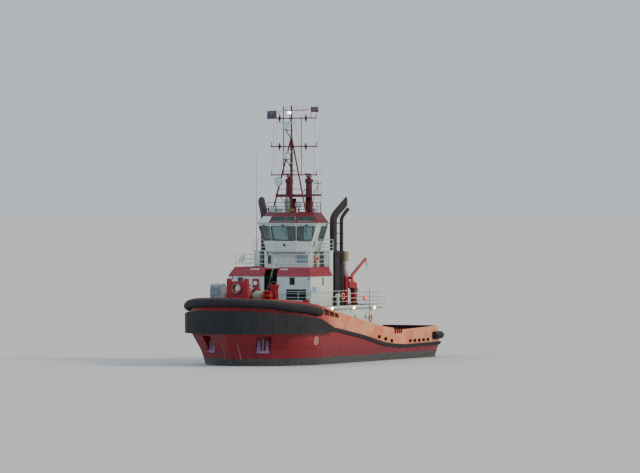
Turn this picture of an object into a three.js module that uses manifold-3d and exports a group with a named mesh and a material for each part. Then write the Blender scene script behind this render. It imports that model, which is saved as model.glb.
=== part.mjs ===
/**
 * Harbour and escort tugboat with azimuth thrusters, shown afloat.
 *
 * Millimetres. +X points to the bow, +Y to port, +Z up; the origin is on the
 * centreline at the waterline, amidships.
 */
import * as THREE from "three";
import { mergeVertices } from "three/addons/utils/BufferGeometryUtils.js";
import Module from "manifold-3d";

const wasm = await Module();
wasm.setup();

/* ---------- driving sizes ---------- */

const GAP = 0.3;
const CLEAR = 8;

const MAIN_DECK = 1500;
const KEEL_FOOT = -4900;
const FORE_DECK = 5650;
const FORE_DECK_START = 9600;
const BULWARK_PLATE = 80;
const BLOCK_FENDER_DEPTH = 540;
const BLOCK_FENDER_LEVEL = 5000;
const ROLL_RADIUS = 430;
const ROLL_STANDOFF = 220;
const STRAKE_DEPTH = 150;
const STRAKE_HEIGHT = 340;

const HOUSE_HALF = 5200;
const HOUSE_AFT = -6300;
const HOUSE_FRONT = 9300;
const WALL = 120;
const DECK_PLATE = 100;
const BOAT_DECK_HALF = 5500;
const BOAT_DECK_AFT = -6420;

const DECKHOUSE_FRONT = 8800;
const DECKHOUSE_HALF = 4500;
const DECKHOUSE_BACK = 3900;
const TRUNK_HALF = 2500;
const TRUNK_AFT = -1800;
const BAND_LOW = 8600;
const BAND_TOP = 9500;
const BAND_LEAN = 500;
const BAND_LIP = 60;
const UPPER_DECK = 9350;
const STAIR_PORT = 820;
const STAIR_STARBOARD = -600;
const STAIR_BACK = 6300;

const LOWER_BRIDGE_FRONT = 4900;
const LOWER_BRIDGE_AFT = -1000;
const BRIDGE_DECK = 11100;
const SILL = 12100;
const HEAD = 13500;
const WHEELHOUSE_TOP = 13780;
const ROOF_TOP = 14880;

const MAST_X = 3900;
const MAST_TOP = 25500;
const TOWER_X = 2200;
const TOWER_Y = 1100;
const TOWER_TOP = 18200;

const THRUSTER_X = -13200;
const THRUSTER_Y = 2900;
const THRUSTER_AXIS_Z = -4400;
const HEADBOX_BOTTOM = -2900;
const PROPELLER_RADIUS = 950;

const TUNNEL_X = 10500;
const TUNNEL_Z = -2300;
const TUNNEL_RADIUS = 500;

/** Plan outline of the hull at each height. */
const HULL_LEVELS = [
  { z: -3600, nose: 11500, shoulder: 4200, half: 4400, knuckle: 54, wedge: 0.3, stern: -7500, corner: 2600 },
  { z: -2600, nose: 14200, shoulder: 5700, half: 5450, knuckle: 54, wedge: 0.5, stern: -12000, corner: 2600 },
  { z: -1200, nose: 16000, shoulder: 7300, half: 5850, knuckle: 54, wedge: 0.8, stern: -17000, corner: 2000 },
  { z: 0, nose: 16800, shoulder: 8200, half: 5950, knuckle: 54, wedge: 1, stern: -18500, corner: 1500 },
  { z: 1500, nose: 17650, shoulder: 9000, half: 6050, knuckle: 40, wedge: 1, stern: -18950, corner: 1000 },
  { z: 3100, nose: 18550, shoulder: 12000, half: 6100, knuckle: 26, wedge: 1, stern: -18650, corner: 1300 },
  { z: 4200, nose: 18900, shoulder: 12100, half: 6100, knuckle: 30, wedge: 0, stern: -18650, corner: 1300 },
  { z: 5650, nose: 18950, shoulder: 12300, half: 6050, knuckle: 30, wedge: 0, stern: -18650, corner: 1300 },
  { z: 7000, nose: 18750, shoulder: 12500, half: 5850, knuckle: 30, wedge: 0, stern: -18650, corner: 1300 },
];
const WEDGE_STEPS = 4;
const BOW_STEPS = 8;
const CORNER_STEPS = 4;

/** Top edge of the bulwark, bow to stern. */
const BULWARK_TOP = [
  [21000, 6900], [18900, 6700], [14500, 6350], [10000, 5860], [6900, 5250], [-3100, 3600],
  [-5900, 3320], [-9500, 3000], [-13500, 3080], [-21000, 3260],
];

/** Centre height of the rubbing strake along the side. */
const STRAKE_LINE = [
  [7500, 3420], [6500, 3380], [0, 2500], [-4800, 1660], [-7400, 1440], [-10000, 1330], [-13000, 1370],
  [-21000, 1440],
];

/** Octagonal plan of the wheelhouse at each height. */
const WHEELHOUSE_LEVELS = [
  {
    z: BRIDGE_DECK + GAP, front: 5420, nose: 1260, shoulder: 4700, half: 2380,
    aftShoulder: 2300, aft: 1000, aftNose: 1500,
  },
  {
    z: WHEELHOUSE_TOP, front: 5840, nose: 1470, shoulder: 4860, half: 3290,
    aftShoulder: 2300, aft: 1000, aftNose: 2000,
  },
];
const ROOF_LEVELS = [
  {
    z: WHEELHOUSE_TOP + GAP, front: 5970, nose: 1520, shoulder: 4900, half: 3370,
    aftShoulder: 2250, aft: 880, aftNose: 2080,
  },
  {
    z: ROOF_TOP, front: 5200, nose: 1180, shoulder: 4250, half: 2600,
    aftShoulder: 2500, aft: 1250, aftNose: 1600,
  },
];

const YARD_LEVELS = [
  { z: 18600, starboard: -2300, port: 2850 },
  { z: 21420, starboard: -2300, port: 2850 },
  { z: 24230, starboard: -2220, port: 2780 },
];
const YARD_LAMPS = { starboard: -1320, port: 1590 };
/** Signal lamps threaded on the yards, as [radius, height]. */
const YARD_LAMP_PROFILE = [[0, -380], [40, -370], [140, 0], [40, 370], [0, 380]];

const FLAGS = {
  port: { y: 2120, side: 1, low: 24820, length: 880, drop: 520 },
  starboard: { y: -1730, side: -1, low: 24180, length: 1050, drop: 820 },
};
const STAFF_HALF = 22;
const STAFF_FOOT = 24180;
const STAFF_X = MAST_X - 100;

/* ---------- paints ---------- */

const LOOKS = {
  hullRed: { color: "#8f1d26", roughness: 0.45, metalness: 0.0 },
  maroon: { color: "#6d1420", roughness: 0.5, metalness: 0.0 },
  rubber: { color: "#20262c", roughness: 0.9, metalness: 0.0 },
  white: { color: "#bccbcc", roughness: 0.4, metalness: 0.0 },
  deckGreen: { color: "#4b5654", roughness: 0.8, metalness: 0.0 },
  black: { color: "#1c2227", roughness: 0.55, metalness: 0.0 },
  glass: { color: "#5f8c90", roughness: 0.08, metalness: 0.0 },
  radar: { color: "#a9c6d2", roughness: 0.35, metalness: 0.0 },
  steel: { color: "#8d9296", roughness: 0.4, metalness: 1.0 },
  bronze: { color: "#a98446", roughness: 0.35, metalness: 1.0 },
  canvas: { color: "#7d8b92", roughness: 0.9, metalness: 0.0 },
  cloth: { color: "#5a6468", roughness: 0.95, metalness: 0.0 },
  seat: { color: "#26292c", roughness: 0.7, metalness: 0.0 },
};

/* ---------- shape helpers ---------- */

/** Turns a three.js geometry into a watertight solid. */
function solid(geometry) {
  const plain = geometry.clone();
  plain.deleteAttribute("normal");
  plain.deleteAttribute("uv");
  const merged = mergeVertices(plain, 1e-3);
  const mesh = new wasm.Mesh({
    numProp: 3,
    vertProperties: new Float32Array(merged.attributes.position.array),
    triVerts: new Uint32Array(merged.index.array),
  });
  mesh.merge();
  return new wasm.Manifold(mesh);
}

/** Joins any number of solids, or lists of solids, into one. */
function join(...shapes) {
  return shapes.flat(Infinity).reduce((whole, shape) => whole.add(shape));
}

/** Takes any number of solids, or lists of solids, out of the first. */
function cut(body, ...tools) {
  return tools.flat(Infinity).reduce((rest, tool) => rest.subtract(tool), body);
}

function box(x0, x1, y0, y1, z0, z1) {
  const shape = new THREE.BoxGeometry(x1 - x0, y1 - y0, z1 - z0);
  shape.translate((x0 + x1) / 2, (y0 + y1) / 2, (z0 + z1) / 2);
  return solid(shape);
}

/** Round bar from one point to another; the end radius may differ. */
function rod(from, to, radius, sides = 8, endRadius = radius) {
  const start = new THREE.Vector3(...from);
  const end = new THREE.Vector3(...to);
  const along = end.clone().sub(start);
  const shape = new THREE.CylinderGeometry(endRadius, radius, along.length(), sides);
  const upward = new THREE.Vector3(0, 1, 0);
  shape.applyQuaternion(new THREE.Quaternion().setFromUnitVectors(upward, along.clone().normalize()));
  shape.translate(...start.add(end).multiplyScalar(0.5).toArray());
  return solid(shape);
}

/** Side-view outline of [x, z] points carried across from y0 to y1. */
function acrossShip(points, y0, y1) {
  const outline = new THREE.Shape(points.map(([x, z]) => new THREE.Vector2(x, z)));
  const shape = new THREE.ExtrudeGeometry(outline, { depth: y1 - y0, bevelEnabled: false });
  shape.rotateX(Math.PI / 2);
  shape.translate(0, y1, 0);
  return solid(shape);
}

/** Front-view outline of [y, z] points carried along from x0 to x1. */
function alongShip(points, x0, x1) {
  const outline = new THREE.Shape(points.map(([y, z]) => new THREE.Vector2(y, z)));
  const shape = new THREE.ExtrudeGeometry(outline, { depth: x1 - x0, bevelEnabled: false });
  const turn = new THREE.Matrix4().makeBasis(
    new THREE.Vector3(0, 1, 0),
    new THREE.Vector3(0, 0, 1),
    new THREE.Vector3(1, 0, 0),
  );
  shape.applyMatrix4(turn);
  shape.translate(x0, 0, 0);
  return solid(shape);
}

/** Plan outline of [x, y] points carried up from z0 to z1. */
function upright(points, z0, z1) {
  const outline = new THREE.Shape(points.map(([x, y]) => new THREE.Vector2(x, y)));
  const shape = new THREE.ExtrudeGeometry(outline, { depth: z1 - z0, bevelEnabled: false });
  shape.translate(0, 0, z0);
  return solid(shape);
}

/** Turned shape from [radius, height] points about an axis through a point. */
function turned(profile, centre, axis = "z", sides = 20) {
  const points = profile.map(([radius, height]) => new THREE.Vector2(radius, height));
  const shape = new THREE.LatheGeometry(points, sides);
  if (axis === "z") shape.rotateX(Math.PI / 2);
  if (axis === "x") shape.rotateZ(-Math.PI / 2);
  shape.translate(...centre);
  return solid(shape);
}

/** Bar of round section swept along a smooth curve through the points. */
function swept(points, radius, steps, sides = 12) {
  const path = new THREE.CatmullRomCurve3(points.map((point) => new THREE.Vector3(...point)));
  const section = new THREE.Shape();
  section.absarc(0, 0, radius, 0, 2 * Math.PI, false);
  const shape = new THREE.ExtrudeGeometry(section, {
    steps,
    extrudePath: path,
    curveSegments: sides / 2,
    bevelEnabled: false,
  });
  return solid(shape);
}

/** Closed body through rings of points, all of one length, from low to high. */
function loft(rings) {
  const count = rings[0].length;
  const positions = rings.flat(2);
  const faces = [];
  for (let level = 0; level + 1 < rings.length; level += 1) {
    for (let i = 0; i < count; i += 1) {
      const next = (i + 1) % count;
      const a = level * count + i;
      const b = level * count + next;
      faces.push(a, b, a + count, b, b + count, a + count);
    }
  }
  const flat = (ring) => ring.map(([x, y]) => new THREE.Vector2(x, y));
  const top = (rings.length - 1) * count;
  for (const [a, b, c] of THREE.ShapeUtils.triangulateShape(flat(rings[0]), [])) faces.push(a, c, b);
  for (const [a, b, c] of THREE.ShapeUtils.triangulateShape(flat(rings[rings.length - 1]), [])) {
    faces.push(top + a, top + b, top + c);
  }
  const shape = new THREE.BufferGeometry();
  shape.setAttribute("position", new THREE.Float32BufferAttribute(positions, 3));
  shape.setIndex(faces);
  return solid(shape);
}

const mirrored = (shape) => shape.mirror([0, 1, 0]);

/* ---------- hull form ---------- */

/** Hull level at any height, read between the rows of the table. */
function levelAt(z) {
  let upper = HULL_LEVELS.findIndex((level) => level.z >= z);
  if (upper < 1) upper = upper === 0 ? 1 : HULL_LEVELS.length - 1;
  const low = HULL_LEVELS[upper - 1];
  const high = HULL_LEVELS[upper];
  const share = (z - low.z) / (high.z - low.z);
  const mix = {};
  for (const key of Object.keys(low)) mix[key] = low[key] + share * (high[key] - low[key]);
  return mix;
}

/** Port half of the plan outline, stern centre to nose, set out by an offset. */
function portOutline(level, offset) {
  const half = level.half + offset;
  const stern = level.stern - offset;
  const nose = level.nose + offset;
  const corner = level.corner;
  const points = [[stern, 0]];
  for (let i = 0; i <= CORNER_STEPS; i += 1) {
    const angle = (Math.PI / 2) * (i / CORNER_STEPS);
    points.push([stern + corner - corner * Math.cos(angle), half - corner + corner * Math.sin(angle)]);
  }
  const knuckle = THREE.MathUtils.degToRad(level.knuckle);
  const curve = (angle) => [
    level.shoulder + (nose - level.shoulder) * Math.sin(angle),
    half * Math.cos(angle),
  ];
  for (let i = 0; i <= BOW_STEPS; i += 1) points.push(curve((knuckle * i) / BOW_STEPS));
  const start = curve(knuckle);
  for (let i = 1; i < WEDGE_STEPS; i += 1) {
    const share = i / WEDGE_STEPS;
    const round = curve(knuckle + share * (Math.PI / 2 - knuckle));
    const straight = [start[0] + share * (nose - start[0]), start[1] * (1 - share)];
    points.push([0, 1].map((axis) => round[axis] + level.wedge * (straight[axis] - round[axis])));
  }
  points.push([nose, 0]);
  return points;
}

function hullRing(z, offset) {
  const port = portOutline(levelAt(z), offset);
  const starboard = port.slice(1, -1).reverse().map(([x, y]) => [x, -y]);
  return [...[...port].reverse(), ...starboard.reverse()].map(([x, y]) => [x, y, z]);
}

function hullForm(offset) {
  return loft(HULL_LEVELS.map((level) => hullRing(level.z, offset)));
}

const lineHeight = (line, x) => {
  const row = line.findIndex(([station]) => station <= x);
  if (row < 1) return line[Math.max(row, 0)][1];
  const [x1, z1] = line[row - 1];
  const [x0, z0] = line[row];
  return z0 + ((x - x0) / (x1 - x0)) * (z1 - z0);
};

const outerForm = hullForm(0);
const skinForm = hullForm(GAP);

/* ---------- hull and what is welded or bolted to its side ---------- */

const DECK_PROFILE = [
  [-25000, MAIN_DECK], [FORE_DECK_START, MAIN_DECK], [FORE_DECK_START, FORE_DECK], [25000, FORE_DECK],
];

/** Beyond the hull on every side, for cutting bodies. */
const FAR = { x: 25000, y: 9000, z: 9000 };

/** Anchor pocket seen as a turned box on the bow facet, depth measured into the hull. */
const ANCHOR = { x: 15900, y: 2850, z: 2050, turn: 38, depth: 320, half: 720, rise: 850 };

const HATCH = { x0: -12600, x1: -11200, half: 800, wall: 120, height: 350 };
const CARGO_PAD = { x0: -16600, x1: -14600, half: 1500, height: 120 };

function onBow(shape, side) {
  const placed = shape.rotate([0, 0, ANCHOR.turn]).translate([ANCHOR.x, ANCHOR.y, ANCHOR.z]);
  return side > 0 ? placed : mirrored(placed);
}

function buildHull() {
  const underDeck = [...DECK_PROFILE, [FAR.x, -FAR.z], [-FAR.x, -FAR.z]];
  const body = outerForm.intersect(acrossShip(underDeck, -FAR.y, FAR.y));
  const headboxes = [1, -1].map((side) =>
    rod([THRUSTER_X, side * THRUSTER_Y, HEADBOX_BOTTOM], [THRUSTER_X, side * THRUSTER_Y, -1000], 850, 20));
  const tunnel = rod([TUNNEL_X, -FAR.y, TUNNEL_Z], [TUNNEL_X, FAR.y, TUNNEL_Z], TUNNEL_RADIUS, 20);
  const gearbox = rod([TUNNEL_X, -350, TUNNEL_Z], [TUNNEL_X, 350, TUNNEL_Z], 140, 12);
  const strut = rod([TUNNEL_X, 0, TUNNEL_Z], [TUNNEL_X, 0, TUNNEL_Z + TUNNEL_RADIUS + 60], 90, 8);
  const pocket = box(-ANCHOR.depth, 900, -ANCHOR.half, ANCHOR.half, -ANCHOR.rise, ANCHOR.rise);
  const { x0, x1, half, wall, height } = HATCH;
  const coaming = cut(
    box(x0, x1, -half, half, MAIN_DECK - 50, MAIN_DECK + height),
    box(x0 + wall, x1 - wall, wall - half, half - wall, MAIN_DECK - 100, MAIN_DECK + height + 50),
  );
  const pad = box(
    CARGO_PAD.x0, CARGO_PAD.x1, -CARGO_PAD.half, CARGO_PAD.half, MAIN_DECK - 50, MAIN_DECK + CARGO_PAD.height,
  );
  const skeg = acrossShip([[9500, -3500], [-7300, -3500], [-6800, KEEL_FOOT], [7500, KEEL_FOOT]], -250, 250);
  return join(
    cut(join(body, headboxes), tunnel, onBow(pocket, 1), onBow(pocket, -1)),
    gearbox, strut, coaming, pad, skeg,
  );
}

/** Openings that let water off the deck, each with its foot and head. */
const FREEING_PORTS = [
  { x: -3670, low: 2250, high: 2560 },
  { x: -5200, low: 2000, high: 2320 },
  { x: -6660, low: 1760, high: 2090 },
  { x: -11120, low: 1640, high: 1970 },
  { x: -12220, low: 1640, high: 1970 },
  { x: -13290, low: 1640, high: 1970 },
  { x: -14310, low: 1650, high: 1980 },
  { x: -15400, low: 1660, high: 1990 },
];

/** Side view of the opening that the side fairlead sits in, and its two rollers. */
const SIDE_FAIRLEAD = [[9000, 5490], [9000, 4860], [5700, 4480], [5700, 4870]];
const FAIRLEAD_BARS = { stations: [6700, 7850], y: 6040, low: 4400, high: 5300 };
/** Notch in the bulwark top for the roller fairlead further aft. */
const ROLLER_NOTCH = { x0: -9100, x1: -7100, low: 2640, high: 4000 };
const FREEING_PORT_HALF = 330;
const CAP_RAIL = { width: 260, height: 90 };
const STAY_SPACING = 1600;

function buildBulwark() {
  const lowEdge = DECK_PROFILE.map(([x, z]) => [x, z + GAP]);
  lowEdge[1][0] -= GAP;
  lowEdge[2][0] -= GAP;
  const plate = outerForm.subtract(hullForm(-BULWARK_PLATE));
  const sheet = plate.intersect(acrossShip([...lowEdge, ...BULWARK_TOP], -FAR.y, FAR.y));
  const capFoot = BULWARK_TOP.map(([x, z]) => [x, z - CAP_RAIL.height]).reverse();
  const capBand = acrossShip([...BULWARK_TOP, ...capFoot], -FAR.y, FAR.y);
  const cap = outerForm.subtract(hullForm(-CAP_RAIL.width)).intersect(capBand);
  const stays = [];
  for (let x = -17000; x <= 8600; x += STAY_SPACING) {
    const top = lineHeight(BULWARK_TOP, x) - 60;
    const foot = MAIN_DECK + GAP;
    const web = [[6010, foot], [6040, top], [5850, top], [5560, foot]];
    const stay = alongShip(web, x - 40, x + 40);
    stays.push(stay, mirrored(stay));
  }
  const openings = FREEING_PORTS.map(({ x, low, high }) =>
    box(x - FREEING_PORT_HALF, x + FREEING_PORT_HALF, -FAR.y, FAR.y, low, high));
  openings.push(box(ROLLER_NOTCH.x0, ROLLER_NOTCH.x1, -FAR.y, FAR.y, ROLLER_NOTCH.low, ROLLER_NOTCH.high));
  openings.push(acrossShip(SIDE_FAIRLEAD, -FAR.y, FAR.y));
  const { stations, y: barY, low: barFoot, high: barHead } = FAIRLEAD_BARS;
  const bars = stations.map((x) => [1, -1].map((side) =>
    rod([x, side * barY, barFoot], [x, side * barY, barHead], 70, 8)));
  return join(cut(join(sheet, cap, stays), openings), bars);
}

/** Centre height of the big roll fender around the bow. */
const ROLL_LINE = [
  [20000, 6280], [18900, 6200], [17000, 6020], [15400, 5740], [12600, 5500], [11200, 5330], [10000, 5120],
];
const ROLL_END = { x: 10400, z: 5200, lastStation: 11800 };

function rollPath(heightAt, offset, fromX) {
  const points = [];
  const reference = portOutline(levelAt(FORE_DECK), offset);
  reference.forEach(([x], index) => {
    if (x < fromX) return;
    const z = heightAt(x);
    const [px, py] = portOutline(levelAt(z), offset)[index];
    points.push([px, py, z]);
  });
  return [...points, ...points.slice(0, -1).reverse().map(([x, y, z]) => [x, -y, z])];
}

function buildBowRoll() {
  const path = rollPath((x) => lineHeight(ROLL_LINE, x), ROLL_STANDOFF, ROLL_END.lastStation);
  const first = path[0];
  const end = [ROLL_END.x, first[1], ROLL_END.z];
  const points = [end, ...path, [end[0], -end[1], end[2]]];
  return swept(points, ROLL_RADIUS, 32, 12).subtract(skinForm);
}

/** Side view of the block fender under the roll fender. */
const BLOCK_REGION = [
  [21000, 3150], [21000, 5480], [18900, 5400], [14500, 4950], [10500, 4480], [7800, 3650], [7800, 3150],
];

function buildBowBlock() {
  const plan = hullRing(BLOCK_FENDER_LEVEL, BLOCK_FENDER_DEPTH).map(([x, y]) => [x, y]);
  return upright(plan, 3000, 5600).subtract(skinForm).intersect(acrossShip(BLOCK_REGION, -FAR.y, FAR.y));
}

function buildStrake() {
  const upper = STRAKE_LINE.map(([x, z]) => [x, z + STRAKE_HEIGHT / 2]);
  const lower = STRAKE_LINE.map(([x, z]) => [x, z - STRAKE_HEIGHT / 2]).reverse();
  return hullForm(STRAKE_DEPTH).subtract(skinForm).intersect(acrossShip([...upper, ...lower], -FAR.y, FAR.y));
}

const STERN_ROLL = { z: 2230, radius: 390, front: -16400, standoff: 170 };

function buildSternRoll() {
  const outline = portOutline(levelAt(STERN_ROLL.z), STERN_ROLL.standoff);
  const corner = outline.slice(0, CORNER_STEPS + 2).map(([x, y]) => [x, y, STERN_ROLL.z]);
  const [, side] = corner[corner.length - 1];
  const half = [...corner, [STERN_ROLL.front, side, STERN_ROLL.z]];
  const path = [...half.slice(1).reverse(), ...half.map(([x, y, z]) => [x, -y, z])];
  return swept(path, STERN_ROLL.radius, 36, 12).subtract(skinForm);
}

/* ---------- superstructure ---------- */

/** Four walls, open at top and bottom. */
function hollow(x0, x1, half, z0, z1) {
  const inside = box(x0 + WALL, x1 - WALL, WALL - half, half - WALL, z0 - 10, z1 + 10);
  return box(x0, x1, -half, half, z0, z1).subtract(inside);
}

/** Port one of the two doors in the aft wall of the main-deck house. */
const HOUSE_DOOR = { y0: 3700, y1: 4500, sill: MAIN_DECK + 300, head: MAIN_DECK + 2250 };

function buildMainHouse() {
  const walls = hollow(HOUSE_AFT, HOUSE_FRONT, HOUSE_HALF, MAIN_DECK + GAP, FORE_DECK - DECK_PLATE - GAP);
  const doorway = box(
    HOUSE_AFT - 50, HOUSE_AFT + 200, HOUSE_DOOR.y0, HOUSE_DOOR.y1, HOUSE_DOOR.sill, HOUSE_DOOR.head,
  );
  return cut(walls, doorway, mirrored(doorway));
}

function buildHouseDoor(side) {
  const leaf = box(
    HOUSE_AFT, HOUSE_AFT + 60,
    HOUSE_DOOR.y0 + CLEAR, HOUSE_DOOR.y1 - CLEAR,
    HOUSE_DOOR.sill + GAP, HOUSE_DOOR.head - CLEAR,
  );
  return side > 0 ? leaf : mirrored(leaf);
}

function buildBoatDeck() {
  const front = FORE_DECK_START - GAP;
  const half = BOAT_DECK_HALF;
  const plate = box(BOAT_DECK_AFT, front, -half, half, FORE_DECK - DECK_PLATE, FORE_DECK);
  const lip = box(BOAT_DECK_AFT, front, half - 60, half, FORE_DECK - 260, FORE_DECK - 10);
  return join(plate, lip, mirrored(lip));
}

/** Doorway through the aft wall of the deckhouse trunk. */
const TRUNK_DOOR = { y0: -400, y1: 400, sill: FORE_DECK + 250, head: FORE_DECK + 2200 };

/** Square window and wide air intake in the port half of the deckhouse front. */
const FRONT_WINDOW = { y0: 2140, y1: 2790, low: 7720, high: 8540 };
const FRONT_INTAKE = { y0: 1850, y1: 4000, low: 6300, high: 7340 };

function buildDeckhouse() {
  const floor = FORE_DECK + GAP;
  const frontHole = ({ y0, y1, low, high }) =>
    box(DECKHOUSE_FRONT - 300, DECKHOUSE_FRONT + 200, y0, y1, low, high);
  const block = hollow(DECKHOUSE_BACK, DECKHOUSE_FRONT, DECKHOUSE_HALF, floor, BAND_LOW);
  const trunk = hollow(TRUNK_AFT, DECKHOUSE_BACK + WALL, TRUNK_HALF, floor, UPPER_DECK - DECK_PLATE - GAP);
  const passage = box(
    DECKHOUSE_BACK - WALL - 20, DECKHOUSE_BACK + WALL + 20, -450, 450, floor + 100, floor + 2200,
  );
  const well = box(
    STAIR_BACK - WALL, DECKHOUSE_FRONT, STAIR_STARBOARD - WALL, STAIR_PORT + WALL, floor, BAND_LOW,
  );
  const stairSpace = box(
    STAIR_BACK, DECKHOUSE_FRONT + 500, STAIR_STARBOARD, STAIR_PORT, floor - 10, BAND_LOW + 10,
  );
  const doorway = box(
    TRUNK_AFT - 50, TRUNK_AFT + 200, TRUNK_DOOR.y0, TRUNK_DOOR.y1, TRUNK_DOOR.sill, TRUNK_DOOR.head,
  );
  const holes = [FRONT_WINDOW, FRONT_INTAKE].map(frontHole);
  return cut(join(block, trunk, well), stairSpace, passage, holes, doorway);
}

function buildTrunkDoor() {
  return box(
    TRUNK_AFT, TRUNK_AFT + 60,
    TRUNK_DOOR.y0 + CLEAR, TRUNK_DOOR.y1 - CLEAR,
    TRUNK_DOOR.sill + GAP, TRUNK_DOOR.head - CLEAR,
  );
}

/** Sloping crimson band around the deckhouse top, with the deck it encloses. */
function buildUpperDeck() {
  const ring = (grow, back, z) => {
    const half = DECKHOUSE_HALF + grow;
    const front = DECKHOUSE_FRONT + grow;
    return [[front, half, z], [back, half, z], [back, -half, z], [front, -half, z]];
  };
  const band = (inset, back, z0, z1) =>
    loft([ring(BAND_LIP - inset, back, z0), ring(BAND_LIP - inset - BAND_LEAN, back, z1)]);
  const reach = TRUNK_HALF + GAP;
  const walls = cut(
    band(0, DECKHOUSE_BACK, BAND_LOW + GAP, BAND_TOP),
    band(110, DECKHOUSE_BACK + 100, BAND_LOW, BAND_TOP + 20),
    box(DECKHOUSE_BACK - 50, DECKHOUSE_BACK + 150, -reach, reach, 8000, 10000),
  );
  const plateHalf = DECKHOUSE_HALF - BAND_LEAN + 10;
  const plateFront = DECKHOUSE_FRONT - BAND_LEAN + 10;
  const eave = TRUNK_HALF + 100;
  const underside = UPPER_DECK - DECK_PLATE;
  const plate = join(
    box(DECKHOUSE_BACK, plateFront, -plateHalf, plateHalf, underside, UPPER_DECK),
    box(TRUNK_AFT - 100, DECKHOUSE_BACK + 50, -eave, eave, underside, UPPER_DECK),
  );
  const stairSpace = box(STAIR_BACK, 9900, STAIR_STARBOARD, STAIR_PORT, 8000, 10000);
  return join(walls, plate).subtract(stairSpace);
}

const TREADS = 15;

function buildStairs() {
  const inner = STAIR_PORT - 40;
  const outer = STAIR_STARBOARD + 40;
  const foot = [DECKHOUSE_FRONT - 100, FORE_DECK + GAP];
  const head = [STAIR_BACK + 60, UPPER_DECK - 60];
  const stringer = [
    foot, [foot[0] - 260, foot[1]], [head[0] - 40, head[1] - 180], [head[0] - 40, head[1]],
    [head[0] + 120, head[1]],
  ];
  const sides = [[outer, outer + 50], [inner - 50, inner]].map(([y0, y1]) => acrossShip(stringer, y0, y1));
  const treads = [];
  for (let i = 1; i <= TREADS; i += 1) {
    const share = i / (TREADS + 1);
    const x = foot[0] - 130 + share * (head[0] - foot[0] + 130);
    const z = foot[1] + share * (head[1] - foot[1]);
    treads.push(box(x - 130, x + 90, outer + 10, inner - 10, z - 60, z - 20));
  }
  return join(sides, treads);
}

/** Bridge wings, each on a white air casing that stands on the boat deck. */
const WING = { x0: 3050, x1: 3900, reach: 4250 };
const AIR_CASING = { x0: 3110, x1: 3850, y0: 3550, y1: 4200 };
const BRIDGE_DECK_PLAN = [
  [5560, -1350], [5560, 1350], [4760, 2600], [2000, 2900], [-1500, 2900], [-1500, -2900], [2000, -2900],
  [4760, -2600],
];

/** Low house under the wheelhouse; its roof is the bridge deck. */
function buildLowerBridge() {
  const walls = hollow(LOWER_BRIDGE_AFT, LOWER_BRIDGE_FRONT, TRUNK_HALF, UPPER_DECK + GAP, BRIDGE_DECK - 20);
  const roof = upright(BRIDGE_DECK_PLAN, BRIDGE_DECK - DECK_PLATE, BRIDGE_DECK);
  const wing = box(WING.x0, WING.x1, 2700, WING.reach, BRIDGE_DECK - DECK_PLATE, BRIDGE_DECK);
  const { x0, x1, y0, y1 } = AIR_CASING;
  const casing = box(x0, x1, y0, y1, FORE_DECK + GAP, BRIDGE_DECK - DECK_PLATE / 2);
  return join(walls, roof, wing, casing, mirrored(wing), mirrored(casing));
}

function octagon(level, inset = 0) {
  const side = [
    [level.aft + inset, level.aftNose - inset * 0.5],
    [level.aftShoulder + inset * 0.4, level.half - inset],
    [level.shoulder - inset * 0.4, level.half - inset],
    [level.front - inset, level.nose - inset * 0.5],
  ];
  const port = side.map(([x, y]) => [x, y, level.z]);
  const starboard = side.map(([x, y]) => [x, -y, level.z]);
  return [...port.reverse(), ...starboard];
}

/** Level between the two rows of a table, also just past its ends. */
function between(levels, z) {
  const [low, high] = levels;
  const share = (z - low.z) / (high.z - low.z);
  const mix = {};
  for (const key of Object.keys(low)) mix[key] = low[key] + share * (high[key] - low[key]);
  return mix;
}

const octagonBody = (levels, z0, z1, inset = 0) =>
  loft([octagon(between(levels, z0), inset), octagon(between(levels, z1), inset)]);

const WHEELHOUSE_WALL = 110;
const AFT_DOOR = { y0: -1300, y1: -450, sill: BRIDGE_DECK + 150, head: BRIDGE_DECK + 2150 };

/** Windows in the wall panels between two corners of the octagon, as shares of the panel. */
const WINDOWS = [
  { from: 7, to: 0, start: 0, end: 1 },
  { from: 0, to: 1, start: 0, end: 1 },
  { from: 1, to: 2, start: 0.44, end: 0.72 },
  { from: 1, to: 2, start: 0.72, end: 1 },
  { from: 2, to: 3, start: 0, end: 1 },
  { from: 4, to: 5, start: 0, end: 1 },
  { from: 5, to: 6, start: 0, end: 0.28 },
  { from: 5, to: 6, start: 0.28, end: 0.56 },
  { from: 6, to: 7, start: 0, end: 1 },
];
const WINDOW_POST = 75;
const AFT_WINDOWS = [[0, 900], [1050, 1650]];

/** Cutting bodies for the windows, leaning with the walls. */
function windowTools() {
  const tools = WINDOWS.map(({ from, to, start, end }) => loft([SILL, HEAD].map((z) => {
    const corners = octagon(between(WHEELHOUSE_LEVELS, z));
    const a = new THREE.Vector2(corners[from][0], corners[from][1]);
    const b = new THREE.Vector2(corners[to][0], corners[to][1]);
    const along = b.clone().sub(a);
    const length = along.length();
    along.normalize();
    const outward = new THREE.Vector2(along.y, -along.x);
    const low = a.clone().addScaledVector(along, length * start + WINDOW_POST);
    const high = a.clone().addScaledVector(along, length * end - WINDOW_POST);
    return [[low, 600], [high, 600], [high, -260], [low, -260]].map(([point, push]) => {
      const place = point.clone().addScaledVector(outward, push);
      return [place.x, place.y, z];
    });
  })));
  for (const [y0, y1] of AFT_WINDOWS) tools.push(box(500, 1500, y0, y1, SILL, HEAD));
  return tools;
}

function buildWheelhouse() {
  const z0 = WHEELHOUSE_LEVELS[0].z;
  const outer = octagonBody(WHEELHOUSE_LEVELS, z0, WHEELHOUSE_TOP);
  const inner = octagonBody(WHEELHOUSE_LEVELS, z0 - 20, WHEELHOUSE_TOP + 20, WHEELHOUSE_WALL);
  const doorway = box(800, 1400, AFT_DOOR.y0, AFT_DOOR.y1, AFT_DOOR.sill, AFT_DOOR.head);
  return cut(outer, inner, windowTools(), doorway);
}

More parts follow.
